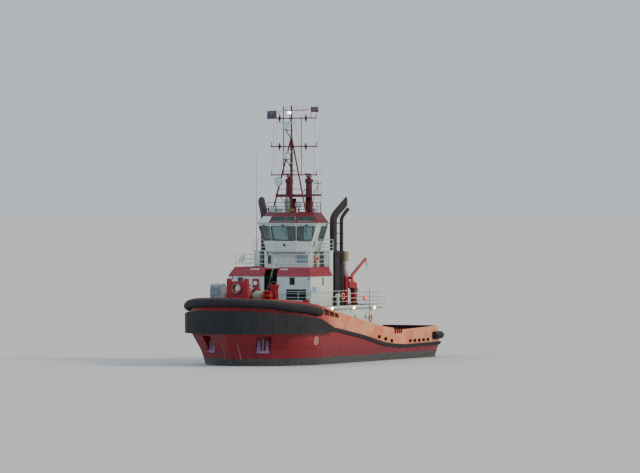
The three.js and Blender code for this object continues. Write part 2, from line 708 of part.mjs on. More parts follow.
function buildGlass() {
  const z0 = WHEELHOUSE_LEVELS[0].z - 20;
  const z1 = WHEELHOUSE_TOP + 20;
  const outer = octagonBody(WHEELHOUSE_LEVELS, z0, z1, WHEELHOUSE_WALL + 1);
  const inner = octagonBody(WHEELHOUSE_LEVELS, z0, z1, WHEELHOUSE_WALL + 25);
  const doorway = box(900, 1500, AFT_DOOR.y0 - 60, AFT_DOOR.y1 + 60, SILL - 200, HEAD + 200);
  return cut(outer, inner, doorway).intersect(box(0, 7000, -5000, 5000, SILL - 60, HEAD + 60));
}

function buildAftDoor() {
  const { y0, y1, sill, head } = AFT_DOOR;
  return box(1000, 1060, y0 + CLEAR, y1 - CLEAR, sill + GAP, head - CLEAR);
}

/** Pale binnacle of the magnetic compass, on the roof ahead of the mast. */
const COMPASS = { x: 4830, profile: [[0, 0], [270, 0], [270, 1330], [190, 1510], [0, 1570]] };

function buildRoof() {
  const z0 = ROOF_LEVELS[0].z;
  const outer = octagonBody(ROOF_LEVELS, z0, ROOF_TOP);
  const inner = octagonBody(ROOF_LEVELS, z0 - 20, ROOF_TOP - 100, 120);
  const compass = turned(COMPASS.profile, [COMPASS.x, 0, ROOF_TOP - 20], "z", 14);
  const soffit = octagonBody(ROOF_LEVELS, z0, z0 + 60);
  const soffitHole = octagonBody(ROOF_LEVELS, z0 - 10, z0 + 70, 420);
  return join(cut(outer, inner), soffit.subtract(soffitHole), compass);
}

const DESK_PLAN = [
  [5150, -1100], [5150, 1100], [4550, 1700], [4300, 1500], [4550, 900], [4550, -900], [4300, -1500],
  [4550, -1700],
];

function buildBridgeFurniture() {
  const floor = BRIDGE_DECK + GAP;
  const desk = upright(DESK_PLAN, floor, floor + 950);
  const plinth = box(2600, 4600, -350, 350, floor, floor + 120);
  const chairs = [3700, 2700].map((x) => join(
    rod([x, 0, floor + 60], [x, 0, floor + 480], 90, 8),
    box(x - 260, x + 260, -270, 270, floor + 450, floor + 600),
    box(x - 330, x - 200, -250, 250, floor + 500, floor + 1250),
  ));
  return join(desk, plinth, chairs);
}

/* ---------- masts, lamps and aerials ---------- */

const RADAR_PLATFORMS = { upper: 23060, lower: 20150 };
const RADAR_X = 5050;
const RADAR_DRUM = 540;
const LEG_FOOT = { x: 4400, y: 1850 };
/** Height at which the two legs meet the mast and its tube steps down. */
const MAST_STEP = 22400;
const TOP_BAR = { y0: -780, y1: 1700, low: 24980, high: 25060 };
/** Thin tubes between the yards. */
const YARD_TUBES = [
  { y: 1090, low: 18560, high: 24300, radius: 40 },
  { y: -890, low: 18560, high: 25450, radius: 50 },
];
const HEAD_LAMP = { x: 4400, foot: 24600, profile: [[0, 0], [170, 30], [170, 300], [0, 380]] };

function buildMast() {
  const deck = ROOF_TOP + GAP;
  const parts = [
    rod([MAST_X, 0, deck], [MAST_X, 0, MAST_STEP], 130, 10),
    rod([MAST_X, 0, MAST_STEP - 100], [MAST_X, 0, MAST_TOP], 80, 8),
    box(MAST_X - 100, MAST_X + 100, TOP_BAR.y0, TOP_BAR.y1, TOP_BAR.low, TOP_BAR.high),
  ];
  for (const { y, low, high, radius } of YARD_TUBES) {
    parts.push(rod([MAST_X, y, low], [MAST_X, y, high], radius, 6));
  }
  for (const side of [1, -1]) {
    parts.push(rod([MAST_X, 0, MAST_STEP], [LEG_FOOT.x, side * LEG_FOOT.y, deck], 80, 8));
  }
  for (const { z, starboard, port } of YARD_LEVELS) {
    parts.push(rod([MAST_X, starboard, z], [MAST_X, port, z], 55, 6));
    for (const y of [starboard + 80, port - 80]) parts.push(rod([MAST_X, y, z], [MAST_X, y, z + 420], 40, 6));
  }
  for (const { z } of YARD_LEVELS.slice(1)) {
    for (const y of Object.values(YARD_LAMPS)) parts.push(turned(YARD_LAMP_PROFILE, [MAST_X, y, z], "z", 10));
  }
  for (const { y, low, drop } of Object.values(FLAGS)) {
    const side = [y - STAFF_HALF, y + STAFF_HALF];
    parts.push(box(STAFF_X - STAFF_HALF, STAFF_X + STAFF_HALF, ...side, STAFF_FOOT, low + drop + 60));
    parts.push(box(STAFF_X, MAST_X, ...side, STAFF_FOOT + 20, STAFF_FOOT + 80));
  }
  for (const z of Object.values(RADAR_PLATFORMS)) {
    parts.push(box(MAST_X, RADAR_X + 300, -200, 200, z - 60, z));
    parts.push(rod([MAST_X, 0, z - 900], [RADAR_X + 100, 0, z - 40], 50, 4));
    parts.push(rod([RADAR_X, 0, z - 20], [RADAR_X, 0, z + RADAR_DRUM], 270, 12));
  }
  const lamp = SEARCHLIGHTS.starboard;
  parts.push(box(MAST_X, HEAD_LAMP.x + 100, -60, 60, HEAD_LAMP.foot - 40, HEAD_LAMP.foot + 20));
  parts.push(turned(HEAD_LAMP.profile, [HEAD_LAMP.x, 0, HEAD_LAMP.foot], "z", 12));
  parts.push(rod([4235, -1240, lamp.z - 90], [lamp.x, lamp.y, lamp.z - 90], 50, 6));
  parts.push(rod([lamp.x, lamp.y, lamp.z - 150], [lamp.x, lamp.y, lamp.z - GAP], 80, 8));
  return join(parts).subtract(box(0, 7000, -4000, 4000, ROOF_TOP - 500, deck));
}

const TOWER_PLATFORM = { x0: 1500, x1: 3740, y0: -1850, y1: 2150, z: 16500 };

/** Two towers that carry the fire monitors, and the platform between them. */
function buildMonitorTowers() {
  const deck = ROOF_TOP + GAP;
  const { x0, x1, y0, y1, z } = TOWER_PLATFORM;
  const platform = join(
    box(x0, x1, y0, y1, z, z + 60),
    box(x1 - 80, x1, y0, y1, z - 100, z + 180),
    box(x0, x0 + 80, y0, y1, z, z + 180),
  );
  const towers = [1, -1].map((side) => join(
    rod([TOWER_X, side * TOWER_Y, deck], [TOWER_X, side * TOWER_Y, TOWER_TOP - 300], 390, 12, 300),
    rod([TOWER_X, side * TOWER_Y, TOWER_TOP - 320], [TOWER_X, side * TOWER_Y, TOWER_TOP], 400, 12),
  ));
  const arm = [
    rod([TOWER_X, TOWER_Y, 18000], [TOWER_X, y1 - 50, 18000], 40, 4),
    rod([TOWER_X, y1 - 60, z], [TOWER_X, y1 - 60, 18040], 40, 4),
  ];
  const lamp = SEARCHLIGHTS.port;
  const lampFoot = [
    rod([lamp.x, lamp.y, deck], [lamp.x, lamp.y, lamp.z - GAP], 90, 8),
    box(3300, lamp.x + 50, lamp.y - 50, lamp.y + 50, deck, deck + 60),
    box(2150, 3350, lamp.y - 50, lamp.y + 50, deck, deck + 60),
  ];
  return join(platform, towers, arm, lampFoot);
}

const SCANNERS = {
  upper: { x: RADAR_X, z: RADAR_PLATFORMS.upper + RADAR_DRUM + GAP, length: 2100 },
  lower: { x: RADAR_X, z: RADAR_PLATFORMS.lower + RADAR_DRUM + GAP, length: 1000 },
};

function buildScanner({ x, z, length }) {
  return join(
    rod([x, 0, z], [x, 0, z + 120], 60, 8),
    box(x - 90, x + 90, -length / 2, length / 2, z + 100, z + 260),
  );
}

const SEARCHLIGHTS = {
  starboard: { x: 4850, y: -894, z: 17480 + GAP, radius: 400 },
  port: { x: 4500, y: 1100, z: 15240 + GAP, radius: 320 },
};

function buildSearchlight({ x, y, z, radius }) {
  const centre = z + radius + 60;
  return join(
    rod([x, y, z], [x, y, z + 100], 70, 8),
    rod([x, y, z + 60], [x, y, centre], 45, 6),
    turned([[0, -220], [radius * 0.5, -200], [radius, 0], [radius, 180], [0, 200]], [x, y, centre], "x", 16),
  );
}

function buildMonitorBase(side) {
  const z = TOWER_TOP + GAP;
  const y = side * TOWER_Y;
  return join(
    rod([TOWER_X, y, z], [TOWER_X, y, z + 260], 130, 10),
    box(TOWER_X - 110, TOWER_X + 110, y - 160, y - 100, z + 200, z + 540),
    box(TOWER_X - 110, TOWER_X + 110, y + 100, y + 160, z + 200, z + 540),
    box(TOWER_X - 110, TOWER_X + 110, y - 160, y + 160, z + 200, z + 250),
  );
}

function buildMonitorBarrel(side) {
  const z = TOWER_TOP + GAP + 460;
  const y = side * TOWER_Y;
  return join(
    rod([TOWER_X, y - 100 + GAP, z], [TOWER_X, y + 100 - GAP, z], 80, 10),
    rod([TOWER_X - 150, y, z], [TOWER_X + 900, y, z + 60], 75, 10, 50),
  );
}

/* ---------- funnels, crane and boat-deck gear ---------- */

const FUNNEL = { top: 11050, x: 2240, y: 3820, radius: 360, bendFoot: 14000 };
const FUNNEL_PLAN = [[420, 3250], [2620, 3250], [2620, 4200], [1700, 4200], [1500, 4120], [420, 4120]];
const SECOND_PIPE = { x: 620, y: 3930, radius: 190 };
/** Ventilator post that stands beside the casing, with two brackets to it. */
const VENT_POST = { x: 1000, y: 4600, radius: 230, neck: 10100, top: 11000 };
const VENT_BRACKETS = [7000, 9800];
const PIPE_STRAPS = [11800, 12800, 13800];
/** Direction in plan in which both pipes bend, in degrees from +X. */
const PIPE_BEND = 141.7;

function buildFunnel(side) {
  const base = FORE_DECK + GAP;
  const casing = upright(FUNNEL_PLAN, base, FUNNEL.top);
  const { x, y, radius, bendFoot } = FUNNEL;
  const bend = [
    [x, y, bendFoot - 100], [x - 10, y + 10, 14250], [x - 190, y + 150, 14700], [x - 740, y + 580, 15450],
    [x - 1540, y + 1220, 16520],
  ];
  const outlet = box(0, 2000, -1500, 1500, -1500, 1500)
    .rotate([0, 0, PIPE_BEND])
    .translate([x - 1090, y + 860, 16000]);
  const bore = rod([x - 640, y + 500, 15310], [x - 1640, y + 1300, 16650], radius - 60, 12);
  const main = join(rod([x, y, FUNNEL.top - 150], [x, y, bendFoot], radius, 14), swept(bend, radius, 10, 14));
  const other = SECOND_PIPE;
  const otherBend = [
    [other.x, other.y, bendFoot - 50], [other.x - 5, other.y + 5, 14150],
    [other.x - 100, other.y + 80, 14480], [other.x - 600, other.y + 470, 15250],
  ];
  const second = join(
    rod([other.x, other.y, FUNNEL.top - 150], [other.x, other.y, bendFoot], other.radius, 8),
    swept(otherBend, other.radius, 6, 8),
  );
  const straps = PIPE_STRAPS.map((z) => rod([x - 300, y, z], [other.x + 150, other.y, z], 40, 4));
  const post = VENT_POST;
  const vent = join(
    rod([post.x, post.y, base], [post.x, post.y, post.neck], post.radius, 12),
    rod([post.x, post.y, post.neck - 50], [post.x, post.y, post.top], post.radius + 60, 12),
    VENT_BRACKETS.map((z) => box(post.x - 80, post.x + 80, 4100, post.y, z, z + 100)),
  );
  const shape = join(casing, cut(main, outlet, bore), second, straps, vent);
  return side > 0 ? shape : mirrored(shape);
}

const CRANE = { x: -1785, y: 4150, top: 7000, boomX: -885, boomZ: 8300 };

function buildCranePedestal() {
  return join(
    rod([CRANE.x, CRANE.y, FORE_DECK + GAP], [CRANE.x, CRANE.y, CRANE.top], 330, 14),
    rod([CRANE.x, CRANE.y, FORE_DECK + GAP], [CRANE.x, CRANE.y, FORE_DECK + 120], 520, 14),
  );
}

function buildCraneColumn() {
  const { x, y, top, boomX, boomZ } = CRANE;
  const side = [
    [x - 260, top + 240], [x + 300, top + 240], [x + 1590, top + 420], [x + 1590, top + 900],
    [x + 1200, boomZ - 300], [boomX - 260, boomZ - 300], [x - 200, top + 800],
  ];
  const ears = [[-260, -190], [190, 260]].map(([y0, y1]) =>
    box(boomX - 200, boomX + 200, y + y0, y + y1, boomZ - 500, boomZ + 200));
  return join(
    rod([x, y, top + GAP], [x, y, top + 260], 420, 14),
    acrossShip(side, y - 260, y + 260),
    ears,
  );
}

function buildCraneBoom() {
  const { y, boomX, boomZ } = CRANE;
  const tip = [boomX - 3740, y, boomZ + 1930];
  return join(
    rod([boomX, y - 190 + GAP, boomZ], [boomX, y + 190 - GAP, boomZ], 110, 10),
    rod([boomX, y, boomZ], tip, 170, 4, 130),
    rod([tip[0], y, tip[2]], [tip[0] - 60, y, tip[2] - 420], 60, 6),
  );
}

const RAFTS = { y: -4750, stations: [-4500, -3100], half: 600, radius: 350 };

function buildLifeRafts() {
  const floor = FORE_DECK + GAP;
  const { y, stations, half, radius } = RAFTS;
  const cradle = box(-5200, -2400, y - 450, y + 450, floor, floor + 220);
  const drums = stations.map((x) => rod([x - half, y, floor + 520], [x + half, y, floor + 520], radius, 14));
  return join(cradle, drums);
}

/* ---------- deck machinery ---------- */

const STAPLE = { x0: 15500, x1: 15900, half: 1190, top: 8480, eye: 7500 };

function buildStaple() {
  const floor = FORE_DECK + GAP;
  const { x0, x1, half, top, eye } = STAPLE;
  const centre = (x0 + x1) / 2;
  const front = [
    [-half, floor], [-half + 330, floor], [-half + 460, 6450], [half - 460, 6450], [half - 330, floor],
    [half, floor], [half - 80, top], [half - 430, top], [half - 480, top - 260], [-half + 480, top - 260],
    [-half + 430, top], [-half + 80, top],
  ];
  const hole = rod([x0 - 300, 0, eye], [x1 + 300, 0, eye], 420, 20);
  const lining = [[420, -40], [540, -40], [540, 480], [420, 480], [420, -40]];
  const rim = turned(lining, [centre - 220, 0, eye], "x", 20);
  return join(cut(alongShip(front, x0, x1), hole), rim);
}

const BOW_DRUM = { x: 12500, z: 6700, radius: 560 };
/** Flared guide posts aft of the bow winch, half width and heights. */
const GUIDE_POSTS = { y: 1600, half: 280, flare: 400, neck: 7300, shoulder: 7720, top: 7860 };

function buildBowWinch() {
  const floor = FORE_DECK + GAP;
  const { x, z } = BOW_DRUM;
  const cheeks = [-1500, -60, 1380].map((y) => join(
    box(x - 600, x + 600, y, y + 120, floor, z),
    rod([x, y, z], [x, y + 120, z], 650, 16),
  ));
  const base = box(x - 650, x + 650, -1500, 1500, floor, floor + 120);
  const motor = rod([x, 1480, z], [x, 2000, z], 360, 12);
  const foot = box(x - 250, x + 250, 1450, 1950, floor, z - 150);
  const { y: postY, half, flare, neck, shoulder, top } = GUIDE_POSTS;
  const post = [[-half, floor], [half, floor], [half, neck], [flare, shoulder], [flare, top]];
  const outline = [...post, [-flare, top], [-flare, shoulder], [-half, neck]];
  const posts = [1, -1].map((side) => join(
    alongShip(outline.map(([y, z]) => [side * postY + y, z]), 10700, 11300),
    box(11200, x - 550, side * 1450 - 60, side * 1450 + 60, floor, floor + 110),
  ));
  const bores = rod([x, -1700, z], [x, 1450, z], 100, 10);
  return join(base, cut(join(cheeks), bores), motor, foot, posts);
}

function buildBowDrum() {
  const { x, z, radius } = BOW_DRUM;
  const drums = [[-1500 + 120, -60], [60, 1380]].map(([y0, y1]) => join(
    rod([x, y0 + GAP, z], [x, y1 - GAP, z], 330, 16),
    rod([x, y0 + GAP, z], [x, y0 + 75, z], radius, 20),
    rod([x, y1 - 75, z], [x, y1 - GAP, z], radius, 20),
  ));
  return join(drums, rod([x, -1560, z], [x, 1440, z], 80, 10));
}

/** Canvas cover over the spare rope reel on the starboard foredeck. */
const REEL_COVER = { x0: 10900, x1: 12100, y0: -4900, y1: -3650, top: 7940 };

function buildReelCover() {
  const { x0, x1, y0, y1, top } = REEL_COVER;
  const middle = (x0 + x1) / 2;
  const radius = (x1 - x0) / 2;
  const shoulder = top - radius * 0.8;
  const outline = [[x0, FORE_DECK + GAP], [x1, FORE_DECK + GAP]];
  for (let i = 0; i <= 10; i += 1) {
    const angle = (Math.PI * i) / 10;
    outline.push([middle + radius * Math.cos(angle), shoulder + (top - shoulder) * Math.sin(angle)]);
  }
  return acrossShip(outline, y0, y1);
}

const AFT_DRUM = { x: -8600, z: 2550, radius: 700 };

function buildAftWinch() {
  const floor = MAIN_DECK + GAP;
  const { x, z } = AFT_DRUM;
  const cheeks = [-1450, 1300].map((y) => box(x - 700, x + 700, y, y + 150, floor, 3300));
  const base = box(x - 900, x + 900, -1450, 1450, floor, floor + 150);
  const motor = rod([x, 1440, z], [x, 2050, z], 330, 12);
  const foot = box(x - 250, x + 250, 1440, 2000, floor, z - 200);
  const bores = rod([x, -1700, z], [x, 1400, z], 140, 12);
  return join(base, cut(join(cheeks), bores), motor, foot);
}

function buildAftDrum() {
  const { x, z, radius } = AFT_DRUM;
  return join(
    rod([x, -1300 + GAP, z], [x, 1300 - GAP, z], 420, 20),
    rod([x, -1300 + GAP, z], [x, -1215, z], radius, 24),
    rod([x, 1215, z], [x, 1300 - GAP, z], radius, 24),
    rod([x, -1500, z], [x, 1390, z], 120, 12),
  );
}

/** Pin of the tow hook, between the two plates of its jaw. */
const HOOK_PIN = { x: -7150, low: 2440, high: 2640, plate: 60 };

function buildTowHookBase() {
  const floor = MAIN_DECK + GAP;
  const { x, low, high, plate } = HOOK_PIN;
  const jaw = [x - 200, x + 250, -180, 180];
  return join(
    box(x - 200, x + 550, -380, 380, floor, low - 40),
    box(...jaw, low - plate, low),
    box(...jaw, high, high + plate),
    box(x + 170, x + 250, -180, 180, low - plate, high + plate),
  );
}

function buildTowHook() {
  const { x, low, high } = HOOK_PIN;
  return join(
    rod([x, 0, low + GAP], [x, 0, high - GAP], 110, 12),
    box(x - 750, x, -60, 60, low + 50, high - 50),
    box(x - 810, x - 670, -60, 60, low + 50, high + 120),
  );
}

const BITTS = { x: -17300, y: 650, bar: 2250, neck: 2700, head: 2780 };

function buildSternBitts() {
  const floor = MAIN_DECK + GAP;
  const { x, y, bar, neck, head } = BITTS;
  const posts = [1, -1].map((side) => join(
    rod([x, side * y, floor], [x, side * y, neck], 190, 12),
    rod([x, side * y, neck - 10], [x, side * y, head], 250, 12),
  ));
  const crossbar = rod([x, -900, bar], [x, 900, bar], 130, 10);
  return join(posts, crossbar, box(x - 300, x + 300, -950, 950, floor, floor + 60));
}

function buildHatchLid() {
  const { x0, x1, half, height } = HATCH;
  const pin = MAIN_DECK + height + 50;
  return join(
    box(x0, x1, -half, half, MAIN_DECK + height + GAP, MAIN_DECK + height + 80),
    rod([x1, -500, pin], [x1, 500, pin], 30, 6),
  );
}

/* ---------- propulsion and ground tackle ---------- */

function blades(centre, axis, count, inner, outer) {
  const list = [];
  for (let i = 0; i < count; i += 1) {
    const chord = (outer - inner) * 0.5;
    const outline = new THREE.Shape([
      new THREE.Vector2(-chord * 0.3, inner),
      new THREE.Vector2(chord * 0.3, inner),
      new THREE.Vector2(chord * 0.62, (inner + outer) * 0.55),
      new THREE.Vector2(chord * 0.42, outer),
      new THREE.Vector2(-chord * 0.42, outer),
      new THREE.Vector2(-chord * 0.62, (inner + outer) * 0.55),
    ]);
    const shape = new THREE.ExtrudeGeometry(outline, { depth: 30, bevelEnabled: false });
    shape.translate(0, 0, -15);
    shape.rotateY(THREE.MathUtils.degToRad(55));
    const turn = new THREE.Matrix4();
    if (axis === "x") {
      turn.makeBasis(new THREE.Vector3(0, 1, 0), new THREE.Vector3(0, 0, 1), new THREE.Vector3(1, 0, 0));
      shape.applyMatrix4(turn);
      shape.rotateX((2 * Math.PI * i) / count);
    } else {
      turn.makeBasis(new THREE.Vector3(0, 0, 1), new THREE.Vector3(1, 0, 0), new THREE.Vector3(0, 1, 0));
      shape.applyMatrix4(turn);
      shape.rotateY((2 * Math.PI * i) / count);
    }
    shape.translate(...centre);
    list.push(solid(shape));
  }
  return list;
}

function buildThruster(side) {
  const y = side * THRUSTER_Y;
  const z = THRUSTER_AXIS_Z;
  const nozzle = turned(
    [[985, -450], [1080, -480], [1200, -300], [1120, 480], [1040, 480], [985, 200], [985, -450]],
    [THRUSTER_X - 900, y, z],
    "x",
    28,
  );
  return join(
    rod([THRUSTER_X, y, HEADBOX_BOTTOM - GAP], [THRUSTER_X, y, HEADBOX_BOTTOM - 200], 700, 20),
    rod([THRUSTER_X, y, HEADBOX_BOTTOM - 100], [THRUSTER_X, y, z], 380, 14),
    rod([THRUSTER_X + 500, y, z], [THRUSTER_X - 620, y, z], 300, 16, 340),
    rod([THRUSTER_X + 900, y, z], [THRUSTER_X + 480, y, z], 90, 16, 298),
    box(THRUSTER_X - 1150, THRUSTER_X, y - 60, y + 60, z + 1040, z + 1240),
    box(THRUSTER_X - 500, THRUSTER_X - 100, y - 60, y + 60, z + 100, z + 1200),
    nozzle,
  );
}

function buildThrusterPropeller(side) {
  const y = side * THRUSTER_Y;
  const x = THRUSTER_X - 620 - GAP;
  const boss = [[0, -480], [280, -360], [320, 0], [0, 0]];
  return join(
    turned(boss, [x, y, THRUSTER_AXIS_Z], "x", 16),
    blades([x - 200, y, THRUSTER_AXIS_Z], "x", 4, 200, PROPELLER_RADIUS),
  );
}

function buildBowPropeller() {
  const y = 350 + GAP;
  return join(
    rod([TUNNEL_X, y, TUNNEL_Z], [TUNNEL_X, y + 220, TUNNEL_Z], 140, 12, 100),
    blades([TUNNEL_X, y + 110, TUNNEL_Z], "y", 4, 90, 465),
  );
}

function buildAnchor(side) {
  const back = -ANCHOR.depth + GAP;
  const fluke = [[-190, -640], [190, -640], [120, 430], [-120, 430]];
  const flukes = [-430, 430].map((u) => {
    const outline = new THREE.Shape(fluke.map(([y, z]) => new THREE.Vector2(y, z)));
    const shape = new THREE.ExtrudeGeometry(outline, { depth: 120, bevelEnabled: false });
    const turn = new THREE.Matrix4().makeBasis(
      new THREE.Vector3(0, 1, 0), new THREE.Vector3(0, 0, 1), new THREE.Vector3(1, 0, 0));
    shape.applyMatrix4(turn);
    shape.translate(back + 60, u, 0);
    return solid(shape);
  });
  const shape = join(
    box(back, back + 260, -620, 620, -800, -560),
    box(back, back + 130, -90, 90, -700, 640),
    flukes,
  );
  return onBow(shape, side);
}

/* ---------- railings and flags ---------- */

/** Heights of the three rails as shares of the whole, and the usual post spacing. */
const RAIL_SHARES = [1, 0.62, 0.3];
const POST_SPACING = 2200;

/** Open railing: posts and three rails along a chain of [x, y] corners. */
function railing(corners, floor, height, closed = false) {
  const parts = [];
  const chain = closed ? [...corners, corners[0]] : corners;
  for (let i = 0; i + 1 < chain.length; i += 1) {
    const [x0, y0] = chain[i];
    const [x1, y1] = chain[i + 1];
    const length = Math.hypot(x1 - x0, y1 - y0);
    for (const share of RAIL_SHARES) {
      const z = floor + height * share - 25;
      parts.push(rod([x0, y0, z], [x1, y1, z], 25, 4));
    }
    const bays = Math.max(1, Math.round(length / POST_SPACING));
    for (let bay = i === 0 ? 0 : 1; bay <= bays; bay += 1) {
      const share = bay / bays;
      const x = x0 + share * (x1 - x0);
      const y = y0 + share * (y1 - y0);
      parts.push(rod([x, y, floor], [x, y, floor + height], 28, 4));
    }
  }
  return join(parts);
}

function buildUpperRail() {
  const top = BAND_TOP + GAP;
  const half = DECKHOUSE_HALF - BAND_LEAN + 5;
  const front = DECKHOUSE_FRONT - BAND_LEAN + 5;
  const back = DECKHOUSE_BACK + 60;
  const port = railing([[front, STAIR_PORT + 60], [front, half], [back, half]], top, 1250);
  const starboard = railing([[front, STAIR_STARBOARD - 60], [front, -half], [back, -half]], top, 1250);
  return [port, starboard];
}

function buildBoatDeckRail() {
  const edge = BOAT_DECK_HALF - 60;
  const floor = FORE_DECK + GAP;
  const tall = [1, -1].map((side) =>
    railing([[9350, side * 1400], [9350, side * edge], [1750, side * edge]], floor, 1500));
  const low = railing(
    [[1750, edge], [BOAT_DECK_AFT + 60, edge], [BOAT_DECK_AFT + 60, -edge], [1750, -edge]],
    floor,
    1200,
  );
  return join(tall, low);
}

function buildBridgeRail() {
  return railing(
    [
      [3860, 2900], [3860, 4200], [3100, 4200], [3100, 2860], [-1440, 2840], [-1440, -2840], [3100, -2860],
      [3100, -4200], [3860, -4200], [3860, -2900],
    ],
    BRIDGE_DECK + GAP,
    1100,
  );
}

function buildRoofRail() {
  const [, top] = ROOF_LEVELS;
  const corners = octagon(top, 50).map(([x, y]) => [x, y]);
  return railing(corners, ROOF_TOP + GAP, 1000, true);
}

function buildFlag({ y, side, low, length, drop }) {
  const hoist = y + side * (STAFF_HALF + GAP);
  const fly = hoist + side * length;
  const edge = [[hoist, low], [hoist, low + drop], [fly, low + drop - 40], [fly, low - 40]];
  return alongShip(side > 0 ? edge.reverse() : edge, STAFF_X - 12, STAFF_X + 12);
}

/* ---------- assembly ---------- */

const tug = new THREE.Group();
tug.name = "tugboat";

function add(name, shape, look) {
  const mesh = shape.getMesh();
  const geometry = new THREE.BufferGeometry();
  geometry.setAttribute("position", new THREE.BufferAttribute(new Float32Array(mesh.vertProperties), 3));
  geometry.setIndex(new THREE.BufferAttribute(new Uint32Array(mesh.triVerts), 1));
  const piece = new THREE.Mesh(geometry, new THREE.MeshStandardMaterial(LOOKS[look]));
  piece.name = name;
  tug.add(piece);
}

const [upperRailPort, upperRailStarboard] = buildUpperRail();

add("hull", buildHull(), "hullRed");
add("bulwark", buildBulwark(), "hullRed");
add("bow_roll_fender", buildBowRoll(), "rubber");
add("bow_block_fender", buildBowBlock(), "rubber");
add("rubbing_strake", buildStrake(), "rubber");
add("stern_fender", buildSternRoll(), "rubber");
add("main_deck_house", buildMainHouse(), "white");
add("house_door_port", buildHouseDoor(1), "white");
add("house_door_starboard", buildHouseDoor(-1), "white");
add("boat_deck", buildBoatDeck(), "deckGreen");
add("deckhouse", buildDeckhouse(), "white");
add("deckhouse_door", buildTrunkDoor(), "white");
add("upper_deck", buildUpperDeck(), "maroon");
add("stairs", buildStairs(), "black");
add("lower_bridge_house", buildLowerBridge(), "white");
add("wheelhouse", buildWheelhouse(), "white");
add("wheelhouse_glass", buildGlass(), "glass");
add("wheelhouse_door", buildAftDoor(), "white");
add("wheelhouse_roof", buildRoof(), "maroon");
add("bridge_furniture", buildBridgeFurniture(), "seat");
add("mast", buildMast(), "maroon");
add("radar_upper", buildScanner(SCANNERS.upper), "radar");
add("radar_lower", buildScanner(SCANNERS.lower), "radar");
add("searchlight_port", buildSearchlight(SEARCHLIGHTS.port), "radar");
add("searchlight_starboard", buildSearchlight(SEARCHLIGHTS.starboard), "radar");
add("monitor_towers", buildMonitorTowers(), "maroon");
add("monitor_port", buildMonitorBase(1), "maroon");
add("monitor_starboard", buildMonitorBase(-1), "maroon");
add("monitor_barrel_port", buildMonitorBarrel(1), "maroon");
add("monitor_barrel_starboard", buildMonitorBarrel(-1), "maroon");
add("funnel_port", buildFunnel(1), "black");
add("funnel_starboard", buildFunnel(-1), "black");
add("crane_pedestal", buildCranePedestal(), "hullRed");
add("crane_column", buildCraneColumn(), "hullRed");
add("crane_boom", buildCraneBoom(), "hullRed");
add("life_rafts", buildLifeRafts(), "white");
add("towing_staple", buildStaple(), "hullRed");
add("bow_winch_frame", buildBowWinch(), "hullRed");
add("bow_winch_drum", buildBowDrum(), "steel");
add("reel_cover", buildReelCover(), "canvas");
add("aft_winch_frame", buildAftWinch(), "hullRed");
add("aft_winch_drum", buildAftDrum(), "steel");
add("tow_hook_base", buildTowHookBase(), "hullRed");
add("tow_hook", buildTowHook(), "steel");
add("stern_bitts", buildSternBitts(), "hullRed");
add("hatch_lid", buildHatchLid(), "deckGreen");
add("thruster_port", buildThruster(1), "hullRed");
add("thruster_starboard", buildThruster(-1), "hullRed");
add("propeller_port", buildThrusterPropeller(1), "bronze");
add("propeller_starboard", buildThrusterPropeller(-1), "bronze");
add("bow_propeller", buildBowPropeller(), "bronze");
add("anchor_port", buildAnchor(1), "steel");
add("anchor_starboard", buildAnchor(-1), "steel");
add("upper_rail_port", upperRailPort, "white");
add("upper_rail_starboard", upperRailStarboard, "white");
add("boat_deck_rail", buildBoatDeckRail(), "white");
add("bridge_rail", buildBridgeRail(), "white");
add("roof_rail", buildRoofRail(), "maroon");
add("flag_port", buildFlag(FLAGS.port), "cloth");
add("flag_starboard", buildFlag(FLAGS.starboard), "cloth");

export default tug;
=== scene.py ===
"""Looks of a red escort tugboat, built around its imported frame."""

import math

import bmesh
import bpy
from bpy.props import FloatProperty, FloatVectorProperty, IntProperty, PointerProperty
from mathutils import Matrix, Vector, noise


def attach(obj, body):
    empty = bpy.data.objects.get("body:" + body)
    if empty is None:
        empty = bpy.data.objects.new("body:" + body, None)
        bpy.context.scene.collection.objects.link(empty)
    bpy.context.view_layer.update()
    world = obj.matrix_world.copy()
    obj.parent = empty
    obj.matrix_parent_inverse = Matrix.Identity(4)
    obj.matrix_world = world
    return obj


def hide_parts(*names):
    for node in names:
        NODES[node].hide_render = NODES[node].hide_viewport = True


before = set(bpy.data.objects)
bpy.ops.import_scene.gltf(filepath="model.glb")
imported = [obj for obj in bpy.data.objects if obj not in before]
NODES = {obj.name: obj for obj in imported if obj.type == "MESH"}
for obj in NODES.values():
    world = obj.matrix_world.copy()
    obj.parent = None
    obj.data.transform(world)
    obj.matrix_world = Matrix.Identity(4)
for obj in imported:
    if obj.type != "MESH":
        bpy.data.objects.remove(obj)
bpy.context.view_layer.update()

bl_info = {
    "name": "Escort tugboat looks",
    "version": (1, 0, 0),
    "blender": (4, 5, 0),
    "location": "3D View > Sidebar > Tug",
    "description": "Paint, fittings, rigging and stage for the tugboat frame",
    "category": "Object",
}


# ---------------------------------------------------------------- colours


def linear(code):
    """Linear RGBA from an sRGB hex colour."""
    channels = [int(code[i : i + 2], 16) / 255 for i in (1, 3, 5)]
    return (
        *(c / 12.92 if c <= 0.04045 else ((c + 0.055) / 1.055) ** 2.4 for c in channels),
        1.0,
    )


def colour_property(label, text, code):
    return FloatVectorProperty(
        name=label, description=text, subtype="COLOR", size=4, min=0, max=1, default=linear(code)
    )


